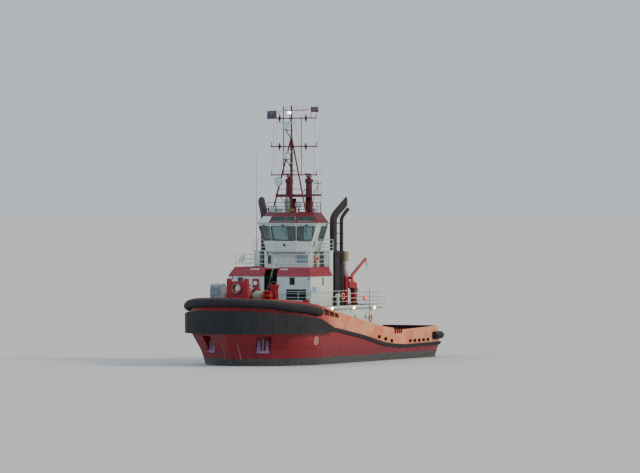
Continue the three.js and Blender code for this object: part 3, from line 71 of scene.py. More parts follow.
class TugPaint(bpy.types.PropertyGroup):
    hull: colour_property("Hull red", "Topside enamel of hull and deck gear", "#8a0210")
    bulwark_inside: colour_property("Bulwark inside", "Inner face of the bulwark", "#430c16")
    boot_top: colour_property("Boot-top", "Stripe at the waterline", "#3b4246")
    antifouling: colour_property("Antifouling", "Coating below the waterline", "#5e2420")
    house: colour_property("House white", "Deckhouse and wheelhouse enamel", "#bccfcd")
    band: colour_property("Band crimson", "Band round the deckhouse top", "#7c0522")
    mast: colour_property("Mast maroon", "Mast and monitor towers", "#560a16")
    deck: colour_property("Deck grey-green", "Non-slip deck coating", "#47524c")
    rubber: colour_property("Fender rubber", "Bow and stern fenders", "#11171e")
    funnel: colour_property("Funnel black", "Heat-resistant funnel paint", "#1c1a21")
    gelcoat: colour_property("Radar blue", "Gelcoat of radars and lamps", "#a9c8d4")
    buoy: colour_property("Lifebuoy orange", "Plastic of the lifebuoys", "#d8452a")


class TugSizes(bpy.types.PropertyGroup):
    boot_top_height: FloatProperty(
        name="Boot-top height", description="Top of the dark stripe above the water",
        default=0.72, min=0.0, unit="LENGTH",
    )
    rope: FloatProperty(
        name="Towing rope", description="Diameter of the towing rope", default=0.08, min=0.02, unit="LENGTH"
    )
    camera_distance: FloatProperty(
        name="Camera distance", description="From the ship's origin", default=500.0, unit="LENGTH"
    )
    camera_height: FloatProperty(
        name="Camera height", description="Above the water", default=16.8, unit="LENGTH"
    )
    camera_bearing: FloatProperty(
        name="Camera bearing", description="From the bow towards port",
        default=math.radians(26.0), subtype="ANGLE",
    )
    floor_reach: IntProperty(
        name="Floor reach", description="Half side of the floor, in metres", default=3000
    )


def paint(name):
    return tuple(getattr(bpy.context.scene.tug_paint, name))


def sizes():
    return bpy.context.scene.tug_sizes


# ---------------------------------------------------------------- materials


def add_node(tree, kind, links=None, **settings):
    """Adds one node; settings go to its attributes, links to its inputs as sockets or values."""
    made = tree.nodes.new(kind)
    for key, value in settings.items():
        setattr(made, key, value)
    for key, value in (links or {}).items():
        if isinstance(value, bpy.types.NodeSocket):
            tree.links.new(value, made.inputs[key])
        else:
            made.inputs[key].default_value = value
    return made


def finish(name, roughness, metallic=0.0, ior=1.5, coat=0.0):
    """Turns node work into a material that is made the first time it is asked for."""

    def wrap(work):
        def build():
            material = bpy.data.materials.get(name)
            if material is None:
                material = bpy.data.materials.new(name)
                material.use_nodes = True
                shader = material.node_tree.nodes["Principled BSDF"]
                shader.inputs["Roughness"].default_value = roughness
                shader.inputs["Metallic"].default_value = metallic
                if metallic < 0.5:
                    shader.inputs["IOR"].default_value = ior
                if coat:
                    shader.inputs["Coat Weight"].default_value = coat
                    shader.inputs["Coat Roughness"].default_value = 0.15
                work(material.node_tree, shader)
            return material

        return build

    return wrap


def feed(shader, name, socket):
    """Links a socket to one of the shader's inputs."""
    shader.id_data.links.new(socket, shader.inputs[name])


def coordinates(tree, scale=(1, 1, 1)):
    """Object coordinates in metres, stretched by a scale."""
    where = add_node(tree, "ShaderNodeTexCoord")
    mapped = add_node(tree, "ShaderNodeMapping", {"Vector": where.outputs["Object"], "Scale": scale})
    return mapped.outputs["Vector"]


def place_of(tree):
    """X, Y and Z of the point being shaded."""
    return add_node(tree, "ShaderNodeSeparateXYZ", {0: coordinates(tree)}).outputs


def facing(tree):
    """X, Y and Z of the surface's direction there."""
    normal = add_node(tree, "ShaderNodeNewGeometry").outputs["Normal"]
    return add_node(tree, "ShaderNodeSeparateXYZ", {0: normal}).outputs


def reckon(tree, operation, first, second=0.0):
    """Result of one sum of two sockets or numbers."""
    return add_node(tree, "ShaderNodeMath", {0: first, 1: second}, operation=operation).outputs[0]


def product(tree, first, *others):
    for other in others:
        first = reckon(tree, "MULTIPLY", first, other)
    return first


def is_above(tree, value, level):
    """1 where the value is over the level, 0 elsewhere."""
    return reckon(tree, "GREATER_THAN", value, level)


def is_below(tree, value, level):
    """1 where the value is under the level, 0 elsewhere."""
    return reckon(tree, "LESS_THAN", value, level)


def within(tree, place, axis, low, high):
    """1 between two coordinates along an axis, 0 outside."""
    return product(tree, is_above(tree, place[axis], low), is_below(tree, place[axis], high))


def ramp(tree, value, low=0.0, high=1.0, start=0.0, end=1.0, **settings):
    """Value stretched so that low becomes start and high becomes end, and held there beyond them."""
    made = add_node(
        tree, "ShaderNodeMapRange",
        {"Value": value, "From Min": low, "From Max": high, "To Min": start, "To Max": end}, **settings,
    )
    return made.outputs["Result"]


def blotches(tree, size_mm, detail=3.0, stretch=(1, 1, 1), low=0.4, high=0.6):
    """Soft pattern between 0 and 1 whose patches are about size_mm across."""
    cloud = add_node(
        tree, "ShaderNodeTexNoise",
        {"Vector": coordinates(tree, stretch), "Scale": 1000.0 / size_mm, "Detail": detail},
    )
    return ramp(tree, cloud.outputs["Fac"], low, high, interpolation_type="SMOOTHSTEP")


def mixed(tree, factor, first, second):
    made = add_node(tree, "ShaderNodeMix", {0: factor, 6: first, 7: second}, data_type="RGBA")
    return made.outputs[2]


def shade(colour, factor):
    return (*(min(1.0, c * factor) for c in colour[:3]), 1.0)


def mottled(tree, colour, factor, size_mm, detail=3.0, share=1.0):
    """Colour in patches that turn lighter or darker by a factor."""
    patches = blotches(tree, size_mm, detail)
    return mixed(tree, product(tree, patches, share) if share < 1 else patches, colour, shade(colour, factor))


def bumped(shader, height, distance_mm, strength=0.5):
    made = add_node(
        shader.id_data, "ShaderNodeBump",
        {"Height": height, "Distance": distance_mm / 1000, "Strength": strength},
    )
    feed(shader, "Normal", made.outputs["Normal"])


def uneven(tree, shader, distance_mm, strength):
    """Plates sunk between their frames, in waves 500 mm wide, as paint over welding shows them."""
    bumped(shader, blotches(tree, 500, 2, low=0.2, high=0.8), distance_mm, strength)


def marine_enamel(name, colour, rust=0.25, chalk=0.3, roughness=0.46):
    """Alkyd enamel rolled on welded steel: semi-gloss, chalked by salt, with rust weeping at edges.

    The patches are 900 mm wide and the rust runs 110 mm wide, so both show at ship scale."""

    @finish(name, roughness, ior=1.48, coat=0.04)
    def build(tree, shader):
        faded = mottled(tree, colour, 1.3, 900, share=chalk)
        worn = mixed(tree, product(tree, blotches(tree, 180, 5), 0.18), faded, shade(colour, 0.6))
        runs = blotches(tree, 110, 2, (1, 1, 0.06), 0.6, 0.74)
        weep = product(tree, runs, blotches(tree, 1100, 4, low=0.54, high=0.68), rust)
        feed(shader, "Base Color", mixed(tree, weep, worn, linear("#6b3a22")))
        salt_and_sheen = ramp(tree, blotches(tree, 300, 4), start=roughness - 0.08, end=roughness + 0.18)
        feed(shader, "Roughness", salt_and_sheen)
        uneven(tree, shader, 6, 0.35)

    return build()


def ship_side(tree, place):
    """Red side paint: sun-faded above, purple-red in the shade of the flare, with rust runs."""
    red = paint("hull")
    faded = mottled(tree, red, 1.3, 1100, share=0.22)
    worn = mixed(tree, product(tree, blotches(tree, 240, 5), 0.2), faded, shade(red, 0.6))
    streaks = blotches(tree, 130, 2, (1, 1, 0.05), 0.6, 0.74)
    weep = product(tree, streaks, blotches(tree, 1500, 4, low=0.54, high=0.68), 0.3)
    shadowed = mixed(tree, ramp(tree, place["Z"], 4.2, 1.2, end=0.6), worn, linear("#540a22"))
    return mixed(tree, weep, shadowed, linear("#5d2c1a"))


@finish("Hull alkyd enamel over antifouling", 0.46, ior=1.48, coat=0.05)
def hull_enamel(tree, shader):
    """The same enamel on the hull: boot-top at the water, copper coating below, grit on the decks."""
    place = place_of(tree)
    ragged = reckon(tree, "ADD", place["Z"], product(tree, blotches(tree, 400, 4), 0.08))
    boot = is_below(tree, ragged, sizes().boot_top_height + 0.04)
    wet = is_below(tree, place["Z"], 0.0)
    weed = mixed(tree, blotches(tree, 350, 5), paint("antifouling"), linear("#3a3a24"))
    dark = mottled(tree, paint("boot_top"), 0.65, 260, 4)
    body = mixed(tree, wet, mixed(tree, boot, ship_side(tree, place), dark), weed)
    flat = is_above(tree, facing(tree)["Z"], 0.9)
    level = product(tree, flat, is_above(tree, place["Z"], 1.3))
    feed(shader, "Base Color", mixed(tree, level, body, mottled(tree, paint("deck"), 0.6, 600, 4)))
    rough = ramp(tree, blotches(tree, 300, 4), start=0.4, end=0.64)
    feed(shader, "Roughness", reckon(tree, "MAXIMUM", rough, product(tree, level, 0.85)))
    # Plates between frames 600 mm apart sink a little, as welded ship plating does.
    plates = add_node(
        tree, "ShaderNodeTexWave",
        {"Vector": coordinates(tree, (1, 0, 0)), "Scale": 0.52, "Distortion": 0.6},
        wave_type="BANDS", bands_direction="X",
    )
    bumped(shader, reckon(tree, "ADD", plates.outputs["Fac"], blotches(tree, 800, 2)), 5, 0.4)


@finish("Bulwark alkyd enamel", 0.48, ior=1.48, coat=0.04)
def bulwark_enamel(tree, shader):
    """Hull enamel outside, with painted tan sunlight above the strake aft of the bow; dark maroon inside."""
    place, normal = place_of(tree), facing(tree)
    slope = reckon(tree, "ADD", product(tree, place["X"], 0.155), 2.5)
    above = is_above(tree, place["Z"], reckon(tree, "MAXIMUM", slope, 1.38))
    # Tan above the strake aft of the bow is painted warm sunlight on the side.
    painted_sunlight = ramp(tree, place["X"], 10.5, 5.5, end=0.9)
    tan = mixed(tree, blotches(tree, 1800, 3), linear("#cc7f58"), linear("#d89a74"))
    outside = mixed(tree, product(tree, painted_sunlight, above), ship_side(tree, place), tan)
    # Only the stem and the transom face outwards along X, so a stiffener's side counts as inside.
    ends = is_above(tree, reckon(tree, "ABSOLUTE", place["X"]), 17.0)
    sideways = reckon(tree, "ADD", product(tree, place["Y"], normal["Y"]),
                      product(tree, place["X"], normal["X"], ends))
    outward = reckon(tree, "ADD", sideways, reckon(tree, "MAXIMUM", normal["Z"], 0))
    inner = mottled(tree, paint("bulwark_inside"), 0.55, 400, 4)
    feed(shader, "Base Color", mixed(tree, is_below(tree, outward, 0.3), outside, inner))
    uneven(tree, shader, 5, 0.35)


@finish("Moulded fender rubber", 0.86, ior=1.52)
def fender_rubber(tree, shader):
    """Extruded black rubber: matt, faintly bloomed grey, paler on its top with salt where hulls rub and a
    painted sheen of light.
    """
    bloom = mottled(tree, paint("rubber"), 1.35, 500, 4)
    scuffs = product(tree, blotches(tree, 160, 4, (0.25, 1, 1), 0.58, 0.74), 0.14)
    worn = mixed(tree, scuffs, bloom, linear("#6e7478"))
    # Paler grey on the tops is partly salt and partly a painted sheen of the light falling on them.
    top = ramp(tree, facing(tree)["Z"], 0.45, 0.98, end=0.3)
    salt_and_sheen = product(tree, top, blotches(tree, 200, 5, low=0.3, high=0.75))
    feed(shader, "Base Color", mixed(tree, salt_and_sheen, worn, linear("#6c7378")))
    bumped(shader, blotches(tree, 45, 6, low=0.2, high=0.8), 3, 0.4)


@finish("Gritted deck coating", 0.82)
def deck_coating(tree, shader):
    """Two-part deck coating with 1 mm grit: matt, trodden darker; grit drawn at 12 mm so it shows."""
    rusty = product(tree, blotches(tree, 300, 6, low=0.6, high=0.72), 0.5)
    tone = mottled(tree, paint("deck"), 0.6, 700, 4)
    feed(shader, "Base Color", mixed(tree, rusty, tone, linear("#6a4029")))
    bumped(shader, blotches(tree, 12, 2, low=0.3, high=0.7), 1.5, 0.5)


@finish("Gritted boat-deck coating", 0.8)
def boat_deck_coating(tree, shader):
    """The same coating on the boat deck, whose edge and underside are white enamel."""
    level = is_above(tree, facing(tree)["Z"], 0.8)
    edge = mottled(tree, paint("house"), 0.75, 160, 4)
    feed(shader, "Base Color", mixed(tree, level, edge, mottled(tree, paint("deck"), 0.6, 700, 4)))
    bumped(shader, blotches(tree, 12, 2, low=0.3, high=0.7), 1.2, 0.4)


@finish("Deckhouse alkyd enamel", 0.46, ior=1.48, coat=0.05)
def deckhouse_enamel(tree, shader):
    """House enamel; the recess that holds the forward stairs is darkened to green-black."""
    tone = mottled(tree, paint("house"), 0.85, 900, share=0.3)
    runs = blotches(tree, 60, 2, (1, 1, 0.06), 0.6, 0.72)
    rust = product(tree, runs, blotches(tree, 700, 4, low=0.5, high=0.66), 0.4)
    weathered = mixed(tree, rust, tone, linear("#7a4a2e"))
    place = place_of(tree)
    recess = product(tree, within(tree, place, "X", 6.0, 8.79), within(tree, place, "Y", -0.61, 0.83),
                     is_below(tree, place["Z"], 9.3))
    dark = mixed(tree, blotches(tree, 240, 4), linear("#14201c"), linear("#22302b"))
    feed(shader, "Base Color", mixed(tree, recess, weathered, dark))
    uneven(tree, shader, 5, 0.3)


@finish("Roof maroon enamel", 0.44, ior=1.48, coat=0.06)
def roof_enamel(tree, shader):
    """Mast enamel on the wheelhouse roof; the compass cylinder on it is grey-blue enamel."""
    tone = mottled(tree, paint("mast"), 1.3, 800, share=0.25)
    place = place_of(tree)
    compass = product(tree, within(tree, place, "X", 4.54, 5.12), within(tree, place, "Y", -0.29, 0.29),
                      is_above(tree, place["Z"], 14.9))
    cylinder = mixed(tree, blotches(tree, 150, 3), linear("#6f8088"), linear("#57666e"))
    feed(shader, "Base Color", mixed(tree, compass, tone, cylinder))
    uneven(tree, shader, 4, 0.3)


@finish("Rubbed strake rubber", 0.85, ior=1.52)
def strake_rubber(tree, shader):
    """D-section rubber along the side: black below, its top half tan-grey."""
    top = is_above(tree, facing(tree)["Z"], 0.6)
    pale_top = mixed(tree, blotches(tree, 260, 5), linear("#8c8478"), linear("#5b5751"))
    feed(shader, "Base Color", mixed(tree, top, mottled(tree, paint("rubber"), 1.4, 300, 5), pale_top))
    bumped(shader, blotches(tree, 45, 6, low=0.2, high=0.8), 5, 0.6)


@finish("Crane alkyd enamel", 0.5, ior=1.48, coat=0.04)
def crane_enamel(tree, shader):
    """Crane enamel: hull red gone chalky, grease-browned round the slewing ring."""
    faded = mottled(tree, paint("hull"), 1.3, 500, share=0.3)
    grease = product(tree, within(tree, place_of(tree), "Z", 7.0, 7.35), blotches(tree, 160, 4))
    feed(shader, "Base Color", mixed(tree, grease, faded, linear("#2c1d18")))
    bumped(shader, blotches(tree, 200, 3), 3, 0.3)


@finish("Sooted funnel paint", 0.66)
def soot_paint(tree, shader):
    """Aluminised heat paint turned black, brown near the outlets; the vent post beside it is pale."""
    tone = mottled(tree, paint("funnel"), 1.5, 500, 5)
    place = place_of(tree)
    stain = product(tree, ramp(tree, place["Z"], 13.0, 16.2, end=0.7), blotches(tree, 260, 5))
    sooted = mixed(tree, stain, tone, linear("#332823"))
    outboard = is_above(tree, reckon(tree, "ABSOLUTE", place["Y"]), 4.3)
    low = is_below(tree, place["Z"], 11.03)
    post = product(tree, outboard, within(tree, place, "X", 0.6, 1.4), low)
    salted = mixed(tree, blotches(tree, 160, 4), linear("#c3a19c"), linear("#d3ccc4"))
    lower = mixed(tree, ramp(tree, place["Z"], 9.2, 8.4), salted, paint("hull"))
    pale = mixed(tree, is_above(tree, place["Z"], 10.05), lower, linear("#9a8264"))
    feed(shader, "Base Color", mixed(tree, post, sooted, pale))
    bumped(shader, blotches(tree, 120, 4), 3, 0.4)


@finish("Tinted toughened glass", 0.03, ior=1.52)
def window_glass(tree, shader):
    """Toughened float glass with a green-blue tint: clear, slick, a little salt at the edges."""
    shader.inputs["Base Color"].default_value = linear("#a9c4c6")
    shader.inputs["Transmission Weight"].default_value = 0.92
    feed(shader, "Roughness", ramp(tree, blotches(tree, 120, 4), start=0.02, end=0.14))


@finish("Dark cabin glass", 0.05, ior=1.52)
def dark_glass(tree, shader):
    """Glass over an unlit room: near black, with a sharp reflection."""
    feed(shader, "Base Color", mixed(tree, blotches(tree, 300, 3), linear("#1c2b2e"), linear("#2b3f42")))


def gelcoat(name, colour, roughness=0.25):
    """Sprayed polyester gelcoat on glass fibre: even, glossy, slightly orange-peeled."""

    @finish(name, roughness, coat=0.4)
    def build(tree, shader):
        feed(shader, "Base Color", mottled(tree, colour, 0.82, 150, 3, 0.4))
        bumped(shader, blotches(tree, 18, 2), 0.4, 0.25)

    return build()


@finish("Worn galvanised steel", 0.42, metallic=1.0)
def bare_steel(tree, shader):
    """Rolled steel, galvanised then rubbed bare by rope: grey metal with brown bloom in hollows."""
    bloom = product(tree, blotches(tree, 140, 5, low=0.45, high=0.65), 0.35)
    tone = mottled(tree, linear("#8b9093"), 0.6, 60, 5)
    feed(shader, "Base Color", mixed(tree, bloom, tone, linear("#5b3520")))
    feed(shader, "Metallic", reckon(tree, "SUBTRACT", 1.0, product(tree, bloom, 0.8)))
    bumped(shader, blotches(tree, 25, 4), 1.2, 0.5)


@finish("Ground propeller bronze", 0.32, metallic=1.0)
def cast_bronze(tree, shader):
    """Nickel-aluminium bronze, cast and ground: golden, slightly dulled by sea water."""
    feed(shader, "Base Color", mixed(tree, blotches(tree, 90, 5), linear("#b98e4a"), linear("#7c6238")))
    bumped(shader, blotches(tree, 30, 3), 0.8, 0.3)


@finish("Braided polyester rope", 0.92)
def laid_rope(tree, shader):
    """Twelve-strand polyester rope: pale, matt and hairy; lay drawn at 60 mm so it shows."""
    wave = add_node(
        tree, "ShaderNodeTexWave",
        {"Vector": coordinates(tree), "Scale": 5.2, "Distortion": 3.0, "Detail": 2.0},
        wave_type="BANDS", bands_direction="DIAGONAL",
    )
    lay = wave.outputs["Fac"]
    tone = mixed(tree, lay, linear("#8d8a72"), linear("#c9c5ab"))
    feed(shader, "Base Color", mixed(tree, blotches(tree, 200, 4), tone, linear("#8a8f86")))
    bumped(shader, lay, 8, 0.7)


@finish("Proofed grey canvas", 0.88, ior=1.45)
def proofed_canvas(tree, shader):
    """Woven canvas with a waxed proofing: dull, soft folds; the weave is drawn at 8 mm to show."""
    shader.inputs["Sheen Weight"].default_value = 0.2
    feed(shader, "Base Color", mottled(tree, linear("#7d8b92"), 0.7, 300, 4))
    weave = add_node(
        tree, "ShaderNodeTexBrick", {"Vector": coordinates(tree), "Scale": 60.0, "Mortar Size": 0.03}
    )
    bumped(shader, weave.outputs["Fac"], 1.0, 0.35)


def lamp_glow(name, code, strength):
    """Lit lamp lens: warm filament light through a prismatic cover."""

    @finish(name, 0.2)
    def build(tree, shader):
        shader.inputs["Emission Strength"].default_value = strength
        shader.inputs["Base Color"].default_value = linear(code)
        feed(shader, "Emission Color", mottled(tree, linear(code), 0.8, 30, 2))

    return build()


def moulded_plastic(name, colour, roughness=0.5):
    """Injection- or rotation-moulded plastic: even colour, fine leathered grain of 3 mm."""

    @finish(name, roughness, ior=1.49)
    def build(tree, shader):
        feed(shader, "Base Color", mottled(tree, colour, 0.75, 90, 4, 0.5))
        bumped(shader, blotches(tree, 6, 2), 0.5, 0.3)

    return build()


def bunting(name, low, high, first, second):
    """Woven polyester bunting, thin and soft, dyed in two broad plain bands between two heights."""

    @finish(name, 0.9, ior=1.45)
    def build(tree, shader):
        shader.inputs["Sheen Weight"].default_value = 0.3
        half = is_above(tree, ramp(tree, place_of(tree)["Z"], low, high), 0.5)
        tone = mixed(tree, half, linear(first), linear(second))
        grime = product(tree, blotches(tree, 80, 4), 0.4)
        feed(shader, "Base Color", mixed(tree, grime, tone, linear("#55585c")))
        bumped(shader, blotches(tree, 8, 2), 0.4, 0.3)

    return build()


def house_enamel():
    return marine_enamel("House white alkyd enamel", paint("house"), rust=0.35, chalk=0.08)


def gear_enamel():
    return marine_enamel("Deck gear red enamel", paint("hull"), rust=0.5, chalk=0.15)


def mast_enamel():
    return marine_enamel("Mast maroon enamel", paint("mast"), rust=0.3, chalk=0.12)


def window_rubber():
    return moulded_plastic("Dark window rubber", linear("#1a2124"), 0.6)


def stair_enamel():
    return moulded_plastic("Green-black stair enamel", linear("#14201c"), 0.55)


def lashing_webbing():
    return moulded_plastic("Black lashing webbing", linear("#1b1d1f"), 0.8)


def lamp_black():
    return moulded_plastic("Black lamp enamel", linear("#191d20"), 0.5)


def radar_gelcoat():
    return gelcoat("Radar gelcoat", paint("gelcoat"))


def white_gelcoat():
    return gelcoat("Raft canister gelcoat", linear("#e4e6e2"), 0.3)


@finish("Matt studio floor", 0.9)
def studio_floor(tree, shader):
    """Pale matt floor that stands for the water's surface."""
    shader.inputs["Base Color"].default_value = linear("#c3c8ca")


# ---------------------------------------------------------------- mesh building


FORE, AFT, PORT, UP = (1, 0, 0), (-1, 0, 0), (0, 1, 0), (0, 0, 1)


def circle(count, radius=1.0):
    """Points (u, v) spaced evenly round a circle."""
    angles = [2 * math.pi * k / count for k in range(count)]
    return [(radius * math.cos(angle), radius * math.sin(angle)) for angle in angles]


def turn_to(axis):
    """Turn that brings the upward direction onto an axis."""
    return Vector(UP).rotation_difference(Vector(axis)).to_matrix()


# Heights of the decks above the water, and the angle from which an edge of a solid is sharp.
AFT_DECK, FOREDECK, BOAT_DECK = 1.5, 5.65, 5.65
SHARP_EDGE = math.radians(28)
# Axes of the two winch drums as (x, z) and how thick each drum's barrel is.
BOW_WINCH, BOW_DRUM = (12.5, 6.7), 0.33
AFT_WINCH, AFT_DRUM = (-8.6, 2.55), 0.42
# The crane's slewing axis as (x, y); the mast's and the fire monitors' places.
CRANE_AXIS, MAST_X, MONITOR_X, MONITOR_SIDE = (-1.785, 4.15), 3.9, 2.2, 1.1
# Half breadths of the main deck house, the deckhouse and the lower bridge house, and their end walls.
HOUSE_SIDE, DECKHOUSE_SIDE, BRIDGE_SIDE = 5.2, 4.5, 2.5
HOUSE_BACK, DECKHOUSE_BACK, DECKHOUSE_FRONT, BRIDGE_FRONT = -6.3, -1.8, 8.8, 4.9
# The photograph's width and the focal length that fits it, both in pixels.
PHOTO_WIDTH, FOCAL_LENGTH, SENSOR_MM = 640.0, 5000.0, 36.0


class Form:
    """Collects simple solids of one finish into a single mesh."""

    def __init__(self):
        self.points = []
        self.faces = []

    def add(self, points, faces):
        start = len(self.points)
        self.points += [tuple(point) for point in points]
        self.faces += [tuple(start + i for i in face) for face in faces]

    def slab(self, low, high, bevel=0.01):
        """Box with softened edges between two corners."""
        mesh = bmesh.new()
        bmesh.ops.create_cube(mesh, size=1.0)
        size = [max(h - l, 1e-4) for l, h in zip(low, high)]
        centre = [(h + l) / 2 for l, h in zip(low, high)]
        for vertex in mesh.verts:
            vertex.co = Vector(c + s * p for c, s, p in zip(centre, size, vertex.co))
        soft = min(bevel, min(size) * 0.45)
        if soft > 0:
            bmesh.ops.bevel(mesh, geom=mesh.edges[:], offset=soft, segments=1, affect="EDGES")
        mesh.verts.index_update()
        self.add([v.co for v in mesh.verts], [[v.index for v in f.verts] for f in mesh.faces])
        mesh.free()

    def rings(self, start, count, sides, closed=False):
        """Faces round a row of rings of points, with caps on open ends."""
        for i in range(count if closed else count - 1):
            step = ((i + 1) % count - i) * sides
            for k in range(sides):
                a, b = start + i * sides + k, start + i * sides + (k + 1) % sides
                self.faces.append((a, b, b + step, a + step))
        if not closed:
            self.faces.append(tuple(start + k for k in reversed(range(sides))))
            end = start + (count - 1) * sides
            self.faces.append(tuple(end + k for k in range(sides)))

    def tube(self, path, radius, sides=10, closed=False):
        """Round bar along a path; radius is one number or one per point."""
        path = [Vector(point) for point in path]
        radii = radius if isinstance(radius, (list, tuple)) else [radius] * len(path)
        count, start = len(path), len(self.points)
        reference = None
        for i, point in enumerate(path):
            before = path[i - 1] if i or closed else path[i]
            after = path[(i + 1) % count] if i + 1 < count or closed else path[i]
            along = (after - before).normalized()
            if reference is None:
                seed = Vector(UP if abs(along.z) < 0.9 else FORE)
                reference = along.cross(seed).normalized()
            else:
                reference = (reference - along * reference.dot(along)).normalized()
            other = along.cross(reference)
            for u, v in circle(sides):
                self.points.append(tuple(point + (reference * u + other * v) * radii[i]))
        self.rings(start, count, sides, closed)

    def staple(self, first, last, out, radius, sides=6):
        """Handle or rung: from first along out, across, and back to last."""
        first, last, out = Vector(first), Vector(last), Vector(out)
        self.tube([first, first + out, last + out, last], radius, sides)

    def turned(self, profile, centre, axis=UP, segments=24):
        """Turned shape: profile of (radius, height) about an axis through a centre."""
        turn, centre, start = turn_to(axis), Vector(centre), len(self.points)
        for radius, height in profile:
            ring = [Vector((u, v, height)) for u, v in circle(segments, radius)]
            self.points += [tuple(centre + turn @ point) for point in ring]
        self.rings(start, len(profile), segments)

    def button(self, radius, low, high, crown, centre, axis, segments):
        """Bolt head or disc between two heights, with its crown above them."""
        self.turned([(radius, low), (radius, high), (0.0, crown)], centre, axis, segments)

    def prism(self, outline, push):
        """Flat outline pushed along a vector into a plate."""
        push = Vector(push)
        count = len(outline)
        low = [Vector(point) for point in outline]
        faces = [tuple(range(count)), tuple(reversed(range(count, 2 * count)))]
        faces += [(i, i + count, (i + 1) % count + count, (i + 1) % count) for i in range(count)]
        normal = (low[1] - low[0]).cross(low[2] - low[0])
        if normal.dot(push) > 0:
            faces = [tuple(reversed(face)) for face in faces]
        self.add(low + [point + push for point in low], faces)

    def torus(self, centre, axis, ring, radius, segments=28, sides=10):
        turn = turn_to(axis)
        path = [Vector(centre) + turn @ Vector((u, v, 0)) for u, v in circle(segments, ring)]
        self.tube(path, radius, sides, closed=True)

    def piece(self, name, material, body="ship", smooth=35.0, replaces=()):
        """Makes the object and fastens it to its body."""
        mesh = bpy.data.meshes.new(name)
        mesh.from_pydata(self.points, [], self.faces)
        mesh.validate()
        tidy = bmesh.new()
        tidy.from_mesh(mesh)
        bmesh.ops.recalc_face_normals(tidy, faces=tidy.faces[:])
        tidy.to_mesh(mesh)
        tidy.free()
        mesh.shade_smooth()
        mesh.set_sharp_from_angle(angle=math.radians(smooth))
        mesh.materials.append(material)
        made = bpy.data.objects.new(name, mesh)
        bpy.context.scene.collection.objects.link(made)
        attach(made, body)
        if replaces:
            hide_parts(*replaces)
        return made


def rounded_loop(width, height, radius, steps=4):
    """Outline of a rounded rectangle as (u, v) pairs round its centre."""
    points = []
    for cx, cy, start in (
        (width / 2 - radius, height / 2 - radius, 0),
        (radius - width / 2, height / 2 - radius, 90),
        (radius - width / 2, radius - height / 2, 180),
        (width / 2 - radius, radius - height / 2, 270),
    ):
        for i in range(steps + 1):
            angle = math.radians(start + 90 * i / steps)
            points.append((cx + radius * math.cos(angle), cy + radius * math.sin(angle)))
    return points


def grid(columns, rows):
    """Faces of a sheet whose points are laid out row by row."""
    starts = [j * (columns + 1) + i for j in range(rows) for i in range(columns)]
    return [(a, a + 1, a + columns + 2, a + columns + 1) for a in starts]


def square_to(outline):
    """Direction out of a flat outline of four points."""
    return (outline[1] - outline[0]).cross(outline[3] - outline[0]).normalized()


def mirrored(place, side):
    """A point or direction of the port side, taken to port (1) or starboard (-1)."""
    return Vector((place.x, side * place.y, place.z))


def on_wall(u, v, centre, outward, out=0.0):
    """Point on a wall: u runs sideways, v up, out away from the wall."""
    outward = Vector(outward).normalized()
    side = Vector(UP).cross(outward).normalized()
    up = outward.cross(side).normalized()
    return Vector(centre) + side * u + up * v + outward * out


# ---------------------------------------------------------------- hull lines, as in the frame


def table(keys, *rows):
    """Sizes at rising heights, one dictionary for each."""
    return [dict(zip(("z", *keys.split()), row)) for row in rows]


def between(low, high, z):
    """Sizes at a height between two rows of a table."""
    share = (z - low["z"]) / (high["z"] - low["z"])
    return {key: low[key] + share * (high[key] - low[key]) for key in low}


HULL_LEVELS = table(
    "nose shoulder half knuckle wedge",
    (0.0, 16.80, 8.2, 5.95, 54, 1),
    (1.5, 17.65, 9.0, 6.05, 40, 1),
    (3.1, 18.55, 12.0, 6.10, 26, 1),
    (4.2, 18.90, 12.1, 6.10, 30, 0),
    (5.65, 18.95, 12.3, 6.05, 30, 0),
    (7.0, 18.75, 12.5, 5.85, 30, 0),
)


def hull_level(z):
    """Hull sizes at a height, read between the rows."""
    for low, high in zip(HULL_LEVELS, HULL_LEVELS[1:]):
        if z <= high["z"]:
            break
    return between(low, high, z)


def bow_line(z, share):
    """Point on the port bow at a height; share runs from 0 at the stem to 1 at the shoulder."""
    level = hull_level(z)
    knuckle = math.radians(level["knuckle"])
    angle = math.pi / 2 * (1 - share)
    reach = level["nose"] - level["shoulder"]
    round_point = Vector((level["shoulder"] + reach * math.sin(angle), level["half"] * math.cos(angle), z))
    if angle <= knuckle:
        return round_point
    start = Vector((level["shoulder"] + reach * math.sin(knuckle), level["half"] * math.cos(knuckle), z))
    part = (angle - knuckle) / (math.pi / 2 - knuckle)
    straight = start.lerp(Vector((level["nose"], 0, z)), part)
    return round_point.lerp(straight, level["wedge"])


def bow_normal(z, share):
    """Outward direction of the port bow there."""
    along = bow_line(z, share + 0.01) - bow_line(z, share - 0.01)
    rise = bow_line(z + 0.05, share) - bow_line(z - 0.05, share)
    out = rise.cross(along).normalized()
    return out if out.x > 0 else -out


def off_bow(z, share, distance):
    """Point at a level distance out of the port bow, and the direction to it."""
    out = bow_normal(z, share)
    out = Vector((out.x, out.y, 0)).normalized()
    return bow_line(z, share) + out * distance, out


# ---------------------------------------------------------------- operators


